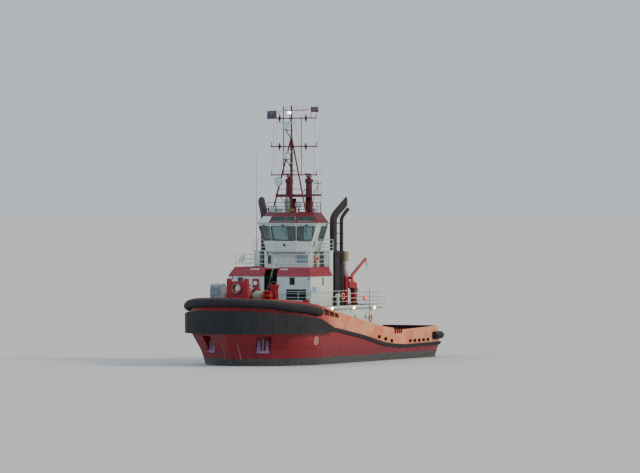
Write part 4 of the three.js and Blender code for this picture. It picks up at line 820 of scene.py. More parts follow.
class TugFinishes(bpy.types.Operator):
    """Give every solid of the frame its finish"""

    bl_idname = "tug.finishes"
    bl_label = "Paint and finishes"

    def execute(self, context):
        finishes = (
            (hull_enamel(), "hull thruster_port thruster_starboard"),
            (bulwark_enamel(), "bulwark"),
            (fender_rubber(), "bow_roll_fender bow_block_fender stern_fender"),
            (strake_rubber(), "rubbing_strake"),
            (boat_deck_coating(), "boat_deck"),
            (deckhouse_enamel(), "deckhouse"),
            (marine_enamel("Band crimson enamel", paint("band"), 0.25, 0.15), "upper_deck"),
            (stair_enamel(), "stairs"),
            (window_glass(), "wheelhouse_glass"),
            (roof_enamel(), "wheelhouse_roof"),
            (moulded_plastic("Console black plastic", linear("#24282b"), 0.6), "bridge_furniture"),
            (mast_enamel(), "mast roof_rail monitor_towers monitor_port monitor_starboard"),
            (mast_enamel(), "monitor_barrel_port monitor_barrel_starboard"),
            (radar_gelcoat(), "radar_upper radar_lower"),
            (gelcoat("Lamp gelcoat", paint("gelcoat")), "searchlight_port searchlight_starboard"),
            (soot_paint(), "funnel_port funnel_starboard"),
            (gear_enamel(), "crane_pedestal towing_staple bow_winch_frame aft_winch_frame"),
            (gear_enamel(), "tow_hook_base stern_bitts"),
            (crane_enamel(), "crane_column"),
            (marine_enamel("Sun-faded crane enamel", linear("#b0414a"), 0.4), "crane_boom"),
            (white_gelcoat(), "life_rafts"),
            (bare_steel(), "bow_winch_drum aft_winch_drum tow_hook"),
            (deck_coating(), "hatch_lid"),
            (cast_bronze(), "propeller_port propeller_starboard bow_propeller"),
            (marine_enamel("Faded purple anchor paint", linear("#7a6486"), 0.5, 0.8, 0.7),
             "anchor_port anchor_starboard"),
            (proofed_canvas(), "flag_port flag_starboard reel_cover"),
        )
        looks = {name: material for material, names in finishes for name in names.split()}
        for name, node in NODES.items():
            node.data.materials.clear()
            node.data.materials.append(looks.get(name) or house_enamel())
            node.data.shade_smooth()
            node.data.set_sharp_from_angle(angle=SHARP_EDGE)
        return {"FINISHED"}


OCTAGON = "front nose shoulder half aft_shoulder aft aft_nose"
WHEELHOUSE = table(
    OCTAGON,
    (11.1, 5.42, 1.26, 4.70, 2.38, 2.30, 1.0, 1.5),
    (13.78, 5.84, 1.47, 4.86, 3.29, 2.30, 1.0, 2.0),
)
ROOF = table(
    OCTAGON,
    (13.78, 5.97, 1.52, 4.90, 3.37, 2.25, 0.88, 2.08),
    (14.88, 5.20, 1.18, 4.25, 2.60, 2.50, 1.25, 1.6),
)
SILL, HEAD, WINDOW_POST = 12.1, 13.5, 0.075


def octagon_point(levels, first, second, share, z, out=0.0):
    """Point on the panel between two corners of the octagon; out is away from the wall."""
    _, front, nose, shoulder, half, aft_shoulder, aft, aft_nose = between(*levels, z).values()
    corners = [(front, nose), (shoulder, half), (aft_shoulder, half), (aft, aft_nose)]
    corners += [(x, -y) for x, y in reversed(corners)]
    a, b = Vector(corners[first]), Vector(corners[second])
    along = (b - a).normalized()
    place = a.lerp(b, share) + Vector((along.y, -along.x)) * out
    return Vector((place.x, place.y, z))


def panel_points(levels, first, second, pairs, out=0.0):
    """Points on a panel from pairs of share and height."""
    return [octagon_point(levels, first, second, share, z, out) for share, z in pairs]


def panel_length(levels, first, second, z):
    start, end = panel_points(levels, first, second, ((0, z), (1, z)))
    return (end - start).length


def upright(left, right, low, high):
    """Corners of an upright rectangle as pairs of share and height."""
    return (left, low), (right, low), (right, high), (left, high)


# Two corners of the octagon, and where the window starts and ends between them.
WINDOWS = (
    (7, 0, 0.0, 1.0), (0, 1, 0.0, 1.0), (1, 2, 0.44, 0.72), (1, 2, 0.72, 1.0), (2, 3, 0.0, 1.0),
    (4, 5, 0.0, 1.0), (5, 6, 0.0, 0.28), (5, 6, 0.28, 0.56), (6, 7, 0.0, 1.0),
)


class TugWheelhouse(bpy.types.Operator):
    """Build gaskets, wipers, skylights and trim of the wheelhouse"""

    bl_idname = "tug.wheelhouse"
    bl_label = "Wheelhouse trim"

    def execute(self, context):
        gaskets, wipers, trim, skylights = Form(), Form(), Form(), Form()
        for first, second, start, end in WINDOWS:
            post = WINDOW_POST / panel_length(WHEELHOUSE, first, second, 12.8)
            left, right, low, high = start + post, end - post, SILL + 0.1, HEAD - 0.1
            cut_left, cut_right = start + post * 1.6, end - post * 1.6
            pairs = (
                (cut_left, SILL), (cut_right, SILL), (right, low), (right, high),
                (cut_right, HEAD), (cut_left, HEAD), (left, high), (left, low),
            )
            gaskets.tube(panel_points(WHEELHOUSE, first, second, pairs, 0.012), 0.03, 6, closed=True)
        for first, second, start, end in (WINDOWS[0], WINDOWS[1], WINDOWS[8]):
            middle = (start + end) / 2
            head = octagon_point(WHEELHOUSE, first, second, middle, HEAD + 0.1, 0.05)
            foot = octagon_point(WHEELHOUSE, first, second, middle + 0.12, SILL + 0.35, 0.05)
            blade = octagon_point(WHEELHOUSE, first, second, middle - 0.1, HEAD - 0.2, 0.03)
            motor = Vector((0.06, 0.12, 0.05))
            wipers.slab(head - motor, head + motor, 0.015)
            wipers.tube([head, foot.lerp(head, 0.35)], 0.014, 6)
            wipers.tube([foot.lerp(blade, 0.1), foot.lerp(head, 0.3), blade], 0.018, 6)
        for index in range(8):
            for levels, z, out, radius in ((ROOF, 13.8, 0.02, 0.035), (WHEELHOUSE, 11.16, 0.01, 0.03)):
                trim.tube(panel_points(levels, index, (index + 1) % 8, ((0, z), (1, z)), out), radius, 6)
        for first, second, start, end in ((7, 0, 0.03, 0.6), (7, 0, 0.66, 0.96), (0, 1, 0.08, 0.9)):
            outline = panel_points(ROOF, first, second, upright(start, end, 14.02, 14.44), 0.012)
            skylights.prism(outline, square_to(outline) * 0.03)
            trim.tube(outline, 0.022, 6, closed=True)
        pairs = ((0.06, 13.86), (0.95, 13.86), (0.93, 14.46), (0.1, 14.46))
        white = panel_points(ROOF, 6, 7, pairs, 0.014)
        trim.prism(white, square_to(white) * 0.02)
        ring, slot = Form(), Form()
        front, forward = (WHEELHOUSE, 7, 0, 0.5, 11.64), (1, 0, -0.15)
        ring.torus(octagon_point(*front, 0.02), forward, 0.11, 0.025)
        ring.button(0.1, 0, 0.02, 0.022, octagon_point(*front), forward, 20)
        pairs = upright(0.22, 0.27, 11.46, 12.0)
        slot.tube(panel_points(WHEELHOUSE, 1, 2, pairs, 0.015), 0.02, 6, closed=True)
        slot.prism(panel_points(WHEELHOUSE, 1, 2, pairs, 0.004), (0, 0.012, -0.004))
        ring.piece("compass_light_ring", window_rubber())
        slot.piece("wall_light_slot", window_rubber())
        gaskets.piece("window_gaskets", window_rubber())
        wipers.piece("window_wipers", moulded_plastic("Black wiper enamel", linear("#15191b"), 0.45))
        trim.piece("wheelhouse_trim", house_enamel())
        skylights.piece("roof_skylights", dark_glass())
        door = Form()
        door.tube([(0.985, -1.2, 12.0), (0.93, -1.2, 12.0), (0.93, -1.08, 12.0)], 0.014, 8)
        door.turned([(0.035, 0), (0.035, 0.02), (0.015, 0.03)], (0.998, -1.2, 12.0), AFT, 12)
        door.slab((0.975, -0.95, 12.35), (0.999, -0.55, 13.05), 0.02)
        door.piece("wheelhouse_door_fittings", bare_steel(), "wheelhouse_door")
        return {"FINISHED"}


class TugHouses(bpy.types.Operator):
    """Build windows, doors' hardware, handrails, lamps, lifebuoys and vents of the houses"""

    bl_idname = "tug.houses"
    bl_label = "Houses' fittings"

    def porthole(self, rims, panes, centre, outward, radius):
        rims.torus(centre, outward, radius, 0.03, 24, 8)
        panes.turned([(radius, 0.002), (radius, 0.012), (0.0, 0.016)], centre, outward, 24)

    def window(self, frames, panes, centre, outward, width, height):
        loop = rounded_loop(width, height, 0.09)
        frames.tube([on_wall(u, v, centre, outward, 0.012) for u, v in loop], 0.032, 6, closed=True)
        inner = [on_wall(u * 0.97, v * 0.97, centre, outward, 0.002) for u, v in loop]
        panes.prism(inner, Vector(outward).normalized() * 0.012)

    def execute(self, context):
        rims, panes, rails = Form(), Form(), Form()
        for side in (1, -1):
            for x in (7.4, 5.0, 2.6, 0.2, -2.2, -4.6):
                if side > 0 and x < -4:
                    continue
                self.porthole(rims, panes, (x, side * HOUSE_SIDE, 4.45), (0, side, 0), 0.19)
            for x in (8.1, 4.6) if side < 0 else ():
                self.window(rims, panes, (x, side * DECKHOUSE_SIDE, 8.1), (0, side, 0), 0.5, 0.78)
            self.window(rims, panes, (6.06, side * DECKHOUSE_SIDE, 8.1), (0, side, 0), 0.36, 0.8)
            self.window(rims, panes, (3.0, side * BRIDGE_SIDE, 8.2), (0, side, 0), 0.6, 0.7)
            for x in (3.6, 1.6, -0.2):
                self.window(rims, panes, (x, side * BRIDGE_SIDE, 10.2), (0, side, 0), 0.7, 0.8)
            self.window(rims, panes, (HOUSE_BACK, side * 1.7, 3.4), AFT, 0.8, 0.6)
        covers, lockers = Form(), Form()
        for glass, x, y, z, width, height in (
            (panes, DECKHOUSE_FRONT, -3.2, 8.12, 0.62, 0.78), (panes, 8.74, 2.465, 8.13, 0.61, 0.78),
            (covers, BRIDGE_FRONT, 0.42, 10.25, 1.02, 0.95), (covers, BRIDGE_FRONT, -1.22, 10.25, 0.7, 0.95),
            (lockers, BRIDGE_FRONT, 1.72, 10.25, 1.35, 0.85), (panes, BRIDGE_FRONT, -1.93, 10.2, 0.42, 0.9),
        ):
            self.window(rims, glass, (x, y, z), FORE, width, height)
        covers.piece("bridge_front_covers", house_enamel())
        blue_grey = moulded_plastic("Blue-grey locker enamel", linear("#7f93a3"), 0.5)
        lockers.piece("bridge_front_locker", blue_grey)
        self.window(rims, panes, (-1.0, -1.3, 10.2), AFT, 0.7, 0.7)
        rims.piece("window_rims", house_enamel())
        panes.piece("cabin_panes", dark_glass())

        louvre = Form()
        for i in range(9):
            z = 6.36 + 0.11 * i
            drop = z - 0.06
            blade = [(8.72, 1.87, z), (8.72, 3.98, z), (8.79, 3.98, drop), (8.79, 1.87, drop)]
            louvre.prism(blade, (0, 0, 0.012))
        for y in (1.86, 2.92, 3.99):
            louvre.slab((8.69, y - 0.03, 6.3), (8.8, y + 0.03, 7.34), 0.005)
        louvre.slab((8.685, 1.85, 6.3), (8.70, 4.0, 7.34), 0.002)
        louvre.piece("engine_air_louvres", stair_enamel())

        for side in (1, -1):
            y = side * DECKHOUSE_SIDE
            rails.staple((8.5, y, 7.0), (4.2, y, 7.0), (0, side * 0.08, 0), 0.02, 8)
            for x in (7.4, 6.3, 5.2):
                rails.tube([(x, y, 7.0), (x, y + side * 0.08, 7.0)], 0.014, 6)
            front = DECKHOUSE_FRONT
            rails.staple((front, side * 1.2, 6.9), (front, side * 4.3, 6.9), (0.08, 0, 0), 0.02, 8)
            for z in [6.0 + 0.3 * i for i in range(11)]:
                rails.staple((3.86, side * 3.0, z), (3.86, side * 3.4, z), (-0.16, 0, 0), 0.014)
            for z in [2.0 + 0.3 * i for i in range(12)]:
                rails.staple((HOUSE_BACK, side * 4.95, z), (HOUSE_BACK, side * 4.6, z), (-0.12, 0, 0), 0.014)
        for y in (-0.56, 0.78):
            rails.tube([(8.7, y, 6.5), (6.5, y, 9.95), (6.3, y, 10.35), (5.9, y, 10.35)], 0.022, 8)
            for share in (0.0, 0.35, 0.7):
                x, z = 8.7 - 2.2 * share, 6.5 + 3.45 * share
                rails.tube([(x, y, z), (x - 0.12, y, z - 0.72)], 0.016, 6)
        rails.piece("house_handrails", house_enamel())

        for side, body in ((1, "house_door_port"), (-1, "house_door_starboard")):
            leaf = Form()
            self.porthole(leaf, leaf, (HOUSE_BACK, side * 4.1, 3.2), AFT, 0.16)
            for z in (2.2, 2.9, 3.5):
                leaf.tube([(-6.32, side * 3.78, z), (-6.34, side * 3.95, z + 0.05)], 0.02, 6)
            leaf.staple((-6.31, side * 3.85, 2.5), (-6.31, side * 3.85, 2.8), (-0.06, 0, 0), 0.014)
            leaf.piece(body + "_dogs", bare_steel(), body)
        leaf = Form()
        leaf.staple((-1.81, -0.3, 6.7), (-1.81, -0.3, 6.98), (-0.06, 0, 0), 0.014)
        for z in (6.2, 7.5):
            leaf.tube([(-1.82, -0.35, z), (-1.84, -0.2, z + 0.04)], 0.02, 6)
        self.porthole(leaf, leaf, (DECKHOUSE_BACK, 0.0, 7.25), AFT, 0.16)
        leaf.piece("deckhouse_door_dogs", bare_steel(), "deckhouse_door")

        hose = Form()
        hose.slab((DECKHOUSE_FRONT, -1.8, 7.5), (8.98, -1.16, 8.35), 0.02)
        hose.piece("fire_hose_box", gear_enamel())
        disc = Form()
        disc.button(0.2, 0, 0.015, 0.018, (8.98, -1.48, 7.93), FORE, 20)
        disc.button(0.03, 0, 0.04, 0.045, (8.98, -1.22, 7.93), FORE, 10)
        disc.piece("fire_hose_disc", white_gelcoat())
        boards, boxes = Form(), Form()
        for y0, y1 in ((-2.22, -1.25), (1.02, 1.9)):
            pairs = upright(y0, y1, 9.2, 9.36)
            outline = [(8.86 - 0.5 * (z - 8.6) / 0.9 + 0.012, y, z) for y, z in pairs]
            boards.prism(outline, (0.02, 0, 0.011))
        faded = moulded_plastic("Faded name-board plastic", linear("#b39aa2"), 0.55)
        boards.piece("blank_name_boards", faded)
        boxes.slab((8.5, 4.95, 7.18), (9.4, 5.42, 7.62), 0.03)
        boxes.slab((8.28, -3.55, 9.95), (8.5, -3.2, 10.35), 0.03)
        boxes.piece("rail_boxes", radar_gelcoat())

        buoys, bands = Form(), Form()
        ring = 0.3
        hung = [
            ((x, side * y, z), (0, side, 0))
            for x, y, z in ((3.57, 5.52, 6.6), (-3.36, 5.27, 4.3), (6.6, 4.1, 10.3)) for side in (1, -1)
        ]
        for centre, outward in (*hung, ((-6.45, 0.0, 6.4), AFT)):
            buoys.torus(centre, outward, ring, 0.065, 32, 10)
            turn = turn_to(outward)
            for k in range(4):
                angle = math.radians(45 + 90 * k)
                out = Vector((math.cos(angle), math.sin(angle), 0))
                spot = Vector(centre) + turn @ Vector((ring * out.x, ring * out.y, 0))
                along = turn @ Vector((-out.y, out.x, 0)) * 0.045
                bands.tube([spot - along, spot + along], 0.069, 12)
        buoys.piece("lifebuoys", moulded_plastic("Lifebuoy orange plastic", paint("buoy"), 0.5))
        bands.piece("lifebuoy_bands", white_gelcoat())

        cases, warm, white, red, unlit = Form(), Form(), Form(), Form(), Form()
        for x, z, lens in ((6.16, 5.46, white), (1.17, 5.44, warm), (-3.59, 5.36, warm)):
            for side in (1, -1):
                place, aim = (x, side * 5.52, z), (0.5, side, -0.2)
                cases.turned([(0.08, -0.02), (0.18, 0.02), (0.19, 0.09), (0.17, 0.1)], place, aim, 18)
                lens.turned([(0.165, 0.06), (0.165, 0.11), (0.1, 0.14), (0.0, 0.15)], place, aim, 18)
        for x, y, z in (
            (8.86, -4.2, 8.45), (8.86, 4.2, 8.45), (4.96, -2.3, 10.85), (4.96, 2.3, 10.85), (-1.06, 0.9, 8.9),
        ):
            cases.slab((x - 0.06, y - 0.16, z - 0.1), (x + 0.1, y + 0.16, z + 0.1), 0.02)
            unlit.slab((x + 0.1, y - 0.13, z - 0.08), (x + 0.112, y + 0.13, z + 0.08), 0.005)
        for side, lens in ((1, red), (-1, unlit)):
            x, y, z, out = -1.57, side * 5.44, 6.35, 0.0 if side > 0 else 0.06
            cases.slab((x - 0.3, y - 0.06, z - 0.2), (x + 0.3, y + out, z + 0.2), 0.01)
            lens.turned([(0.1, -0.12), (0.1, 0.12), (0.05, 0.15)], (x, y + side * 0.1, z), UP, 14)
            cases.tube([(-2.5, side * 5.53, 4.1), (-2.5, side * 5.53, 7.2)], 0.035, 8)
            cases.tube([(-2.5, side * 5.2, 4.3), (-2.5, side * 5.53, 4.3)], 0.025, 6)
        cases.piece("lamp_cases", bare_steel())
        warm.piece("warm_lamp_lenses", lamp_glow("Lit warm lamp lens", "#ffd98f", 9.0))
        white.piece("white_lamp_lenses", lamp_glow("Lit white lamp lens", "#f4f6f0", 7.0))
        unlit.piece("unlit_lamp_glass", gelcoat("Silvered lamp glass", linear("#dfe9ee"), 0.1))
        red.piece("port_light_lens", lamp_glow("Lit red lamp lens", "#d8202a", 4.0))

        heads = Form()
        for x, y, tall in (
            (-0.9, -3.6, 0.9), (-4.6, 2.6, 0.8), (-5.4, 1.2, 0.8), (-5.4, -1.6, 0.8), (3.2, 4.75, 0.9),
        ):
            cap = [(0.26, tall), (0.28, tall + 0.1), (0.2, tall + 0.24), (0.0, tall + 0.28)]
            heads.turned([(0.13, 0), (0.13, tall), *cap], (x, y, BOAT_DECK), UP, 18)
        heads.piece("vent_heads", house_enamel())
        straps = Form()
        for x in (-4.5, -3.1):
            for reach, ring, thick in ((0.35, 0.352, 0.012), (0.6, 0.33, 0.02)):
                for shift in (-reach, reach):
                    straps.torus((x + shift, -4.75, 6.17), FORE, ring, thick, 28, 6)
        straps.piece("raft_lashings", lashing_webbing())
        return {"FINISHED"}


class TugFenders(bpy.types.Operator):
    """Build the joints and holders of the bow and stern fenders"""

    bl_idname = "tug.fenders"
    bl_label = "Fender joints and holders"

    def execute(self, context):
        ribs, chains = Form(), Form()
        depth, inset = 0.54, 0.006
        for side in (1, -1):
            for i in range(7):
                share = 0.07 + i * 0.14
                spot, _ = off_bow(5.0, share, depth - inset)
                rise = 0.45 * (1 - share)
                line = [(spot.x, side * spot.y, z) for z in (3.2, 3.6, 4.0, 4.4)]
                ribs.tube(line + [(spot.x, side * spot.y, 4.8 + rise)], 0.012, 6)
            for i in range(5):
                spot, out = off_bow(5.55, 0.1 + i * 0.19, 0.22)
                z = 5.15 + 1.08 * max(0.0, (spot.x - 10.4) / 8.7)
                chains.torus((spot.x, side * spot.y, z), (-out.y, side * out.x, 0), 0.433, 0.01, 28, 6)
        for y in [-4.8 + 2.4 * i for i in range(5)]:
            chains.torus((-19.0, y, 2.23), PORT, 0.393, 0.01, 28, 6)
        ribs.piece("bow_fender_joints", window_rubber())
        chains.piece("roll_fender_straps", lashing_webbing())
        return {"FINISHED"}


class TugHullMarks(bpy.types.Operator):
    """Build the plain marks, fairleads and the plates of painted shade behind them on the hull"""

    bl_idname = "tug.hull_marks"
    bl_label = "Hull marks and fairleads"

    def execute(self, context):
        marks, rollers, frames = Form(), Form(), Form()
        for side in (1, -1):
            for i in range(6):
                z = 0.75 + 0.25 * i
                centre, outward = mirrored(bow_line(z, 0.1), side), mirrored(bow_normal(z, 0.1), side)
                marks.button(0.045, -0.02, 0.006, 0.008, centre, outward, 10)
            for z in (0.9, 1.3, 1.7, 2.1):
                marks.slab((-17.1, side * 6.0 - 0.09, z - 0.03), (-16.9, side * 6.0 + 0.09, z + 0.03), 0.004)
            centre, outward = mirrored(bow_line(2.4, 0.99), side), mirrored(bow_normal(2.4, 0.98), side)
            marks.torus(centre, outward, 0.38, 0.035, 32, 6)
            turn = Vector(UP).cross(outward).normalized()
            for angle in (45, 135):
                along = turn * math.cos(math.radians(angle)) + Vector(UP) * math.sin(math.radians(angle))
                marks.tube([centre - along * 0.36, centre + along * 0.36], 0.035, 6)
            y = side * 6.05
            for x in (-8.85, -8.35, -7.85, -7.35):
                waist = [(0.09, 0), (0.075, 0.04), (0.075, 0.34), (0.09, 0.38)]
                rollers.turned(waist, (x, y - side * 0.08, 2.68), UP, 14)
            frames.slab((-9.1, y - 0.17, 2.6), (-7.1, y + 0.03, 2.67), 0.01)
            for x in (-9.06, -7.14):
                frames.slab((x - 0.05, y - 0.16, 2.6), (x + 0.05, y + 0.02, 3.1), 0.01)
            pairs = ((9.0, 5.47), (9.0, 4.88), (5.7, 4.5), (5.7, 4.85))
            frames.tube([(x, y - side * 0.02, z) for x, z in pairs], 0.035, 8, closed=True)
        # The maroon plates inboard of the fairlead openings are painted shade, standing for the shadowed
        # space behind them.
        shade_plates = Form()
        for side in (1, -1):
            y = side * 5.86
            shade_plates.prism([(5.6, y, 4.4), (9.1, y, 4.8), (9.1, y, 5.6), (5.6, y, 5.0)], (0, side * 0.02, 0))
            low, high = [(-9.4, y, 2.5), (-6.8, y, 2.5)], [(-6.8, y, 3.0), (-9.4, y, 3.0)]
            shade_plates.prism(low + high, (0, side * 0.02, 0))
        shade_plates.piece("fairlead_backing_plates", mast_enamel())
        marks.piece("hull_marks", gelcoat("White hull mark enamel", linear("#c9c2bb"), 0.5))
        rollers.piece("fairlead_rollers", marine_enamel("Salmon roller enamel", linear("#c0624c"), rust=0.4))
        frames.piece("fairlead_frames", mast_enamel())
        return {"FINISHED"}


def coil(form, axis, drum, low, high, rope):
    """Two layers of rope laid in turns round a drum that lies across the ship."""
    for shift, radius in ((0.0, drum + rope / 2), (0.04, drum + rope * 1.4)):
        layer(form, axis, radius, low + shift, high - shift, rope)


def layer(form, axis, radius, low, high, rope):
    """One layer of rope from low to high across the ship, drawn with twelve points a turn."""
    x, z = axis
    sides = 12
    steps = sides * int((high - low) / (rope * 1.02))
    path = []
    for k in range(steps + 1):
        angle = 2 * math.pi * k / sides
        y = low + rope / 2 + (high - low - rope) * k / steps
        path.append((x + radius * math.cos(angle), y, z + radius * math.sin(angle)))
    form.tube(path, rope / 2, 6)


def bollard(form, x, y, floor, height=0.65, apart=0.7):
    """Pair of posts on one foot, set fore and aft."""
    form.slab((x - apart, y - 0.25, floor), (x + apart, y + 0.25, floor + 0.06), 0.01)
    for shift in (-apart / 2, apart / 2):
        form.turned(
            [(0.16, 0.0), (0.16, height - 0.06), (0.2, height - 0.04), (0.2, height), (0.12, height + 0.02)],
            (x + shift, y, floor), UP, 18,
        )
        z = floor + height * 0.55
        form.tube([(x + shift, y - 0.24, z), (x + shift, y + 0.24, z)], 0.04, 8)


class TugForedeck(bpy.types.Operator):
    """Build ropes, brakes, bollards and small gear of the foredeck"""

    bl_idname = "tug.foredeck"
    bl_label = "Foredeck gear"

    def execute(self, context):
        ropes = Form()
        for low, high in ((-1.3, -0.14), (0.14, 1.3)):
            coil(ropes, BOW_WINCH, BOW_DRUM, low, high, sizes().rope)
        ropes.piece("bow_winch_ropes", laid_rope(), "bow_winch_drum")
        gear, steel = Form(), Form()
        x, z = BOW_WINCH
        for y in (-1.44, 0.0, 1.44):
            gear.torus((x, y, z), PORT, 0.62, 0.03, 32, 8)
            for u, v in circle(10, 0.52):
                gear.button(0.03, -0.09, 0.09, 0.095, (x + u, y, z + v), PORT, 6)
        gear.slab((12.2, 1.55, 7.04), (12.8, 1.95, 7.2), 0.03)
        gear.turned([(0.3, 0), (0.3, 0.05), (0.24, 0.08), (0.0, 0.1)], (x, 2.0, z), PORT, 20)
        gear.slab((12.15, 0.2, 7.3), (12.85, 0.7, 7.52), 0.04)
        gear.slab((12.2, -0.9, 7.3), (12.8, -0.3, 7.48), 0.04)
        for y in (0.2, 0.7, -0.3, -0.9):
            gear.tube([(12.3, y, 7.35), (12.3, math.copysign(0.05, y), 6.9)], 0.03, 6)
        for side in (1, -1):
            bollard(gear, 9.6, side * 4.4, FOREDECK)
            bollard(gear, 14.3, side * 3.3, FOREDECK)
            mushroom = [(0.12, 0), (0.12, 0.5), (0.24, 0.5), (0.24, 0.66), (0.0, 0.72)]
            gear.turned(mushroom, (13.7, side * 2.2, FOREDECK), UP, 16)
            steel.tube([(17.4, side * 2.0, 6.35), (17.75, side * 1.2, 6.42), (17.9, 0, 6.45)], 0.05, 8)
            for y in (-0.99, 0.99):
                for z in (6.0, 7.0, 8.0):
                    gear.button(0.05, 0, 0.03, 0.04, (15.9, y, z), FORE, 8)
        for u, v in circle(16, 0.48):
            gear.button(0.03, 0, 0.03, 0.035, (16.0, u, 7.5 + v), FORE, 8)
        steel.torus((16.03, 0, 7.5), FORE, 0.44, 0.05, 36, 10)
        for side in (1, -1):
            for y in (side * 1.32, side * 1.88):
                gear.slab((10.68, y - 0.03, FOREDECK), (11.32, y + 0.03, 7.3), 0.01)
        arch = ((1.9, 7.86), (1.9, 8.05), (1.6, 8.1), (1.3, 8.05), (1.3, 7.86))
        steel.tube([(11.1, y, z) for y, z in arch], 0.03, 6)
        gear.piece("foredeck_gear", gear_enamel())
        steel.piece("foredeck_steel", bare_steel())
        return {"FINISHED"}


class TugAftDeck(bpy.types.Operator):
    """Build ropes, hatch dogs, bollards and stern gear of the aft deck"""

    bl_idname = "tug.aft_deck"
    bl_label = "Aft deck gear"

    def execute(self, context):
        ropes = Form()
        coil(ropes, AFT_WINCH, AFT_DRUM, -1.2, 1.2, sizes().rope)
        ropes.piece("aft_winch_rope", laid_rope(), "aft_winch_drum")
        gear, steel = Form(), Form()
        for side in (1, -1):
            for x in (-16.0, -11.2):
                bollard(gear, x, side * 5.1, AFT_DECK)
            mushroom = [(0.11, 0), (0.11, 0.55), (0.22, 0.55), (0.24, 0.65), (0.14, 0.78), (0.0, 0.8)]
            for x in (-12.9, -14.6):
                gear.turned(mushroom, (x, side * 4.6, AFT_DECK), UP, 16)
            gear.tube([(-17.3, side * 0.65, 2.78), (-17.3, side * 0.65, 2.86)], 0.12, 12)
            for x in (-12.0, -14.0, -16.2):
                steel.torus((x, side * 2.6, 1.53), UP, 0.09, 0.018, 18, 6)
            roller = [(0.16, 0), (0.13, 0.05), (0.13, 0.65), (0.16, 0.7)]
            steel.turned(roller, (-18.35, side * 1.1, 2.2), UP, 16)
        steel.tube([(-18.35, -1.0, 2.5), (-18.35, 1.0, 2.5)], 0.12, 16)
        for u, v in circle(12):
            for y in (-1.47, 1.47):
                gear.button(0.03, -0.02, 0.02, 0.03, (AFT_WINCH[0] + 0.6 * u, y, 2.65 + 0.5 * v), PORT, 6)
        gear.slab((-9.1, 1.5, 3.28), (-8.1, 1.95, 3.42), 0.03)
        gear.slab((-9.3, -1.46, 3.28), (-7.9, -1.29, 3.36), 0.02)
        gear.slab((-9.3, 1.29, 3.28), (-7.9, 1.46, 3.36), 0.02)
        gear.tube([(-7.1, 0.0, 2.7), (-7.1, 0.0, 2.95), (-6.75, 0.0, 2.95), (-6.75, 0.0, 2.4)], 0.03, 8)
        gear.piece("aft_deck_gear", gear_enamel())
        steel.piece("aft_deck_steel", bare_steel())
        dogs = Form()
        for y in (-0.6, 0.0, 0.6):
            dogs.tube([(-12.62, y, 1.9), (-12.5, y, 1.96), (-12.3, y, 1.96)], 0.025, 8)
        dogs.torus((-11.9, 0.0, 1.97), UP, 0.16, 0.018, 24, 8)
        dogs.tube([(-12.06, 0, 1.965), (-11.74, 0, 1.965)], 0.016, 6)
        dogs.tube([(-11.9, 0, 1.93), (-11.9, 0, 1.98)], 0.03, 8)
        dogs.piece("hatch_dogs", bare_steel(), "hatch_lid")
        return {"FINISHED"}


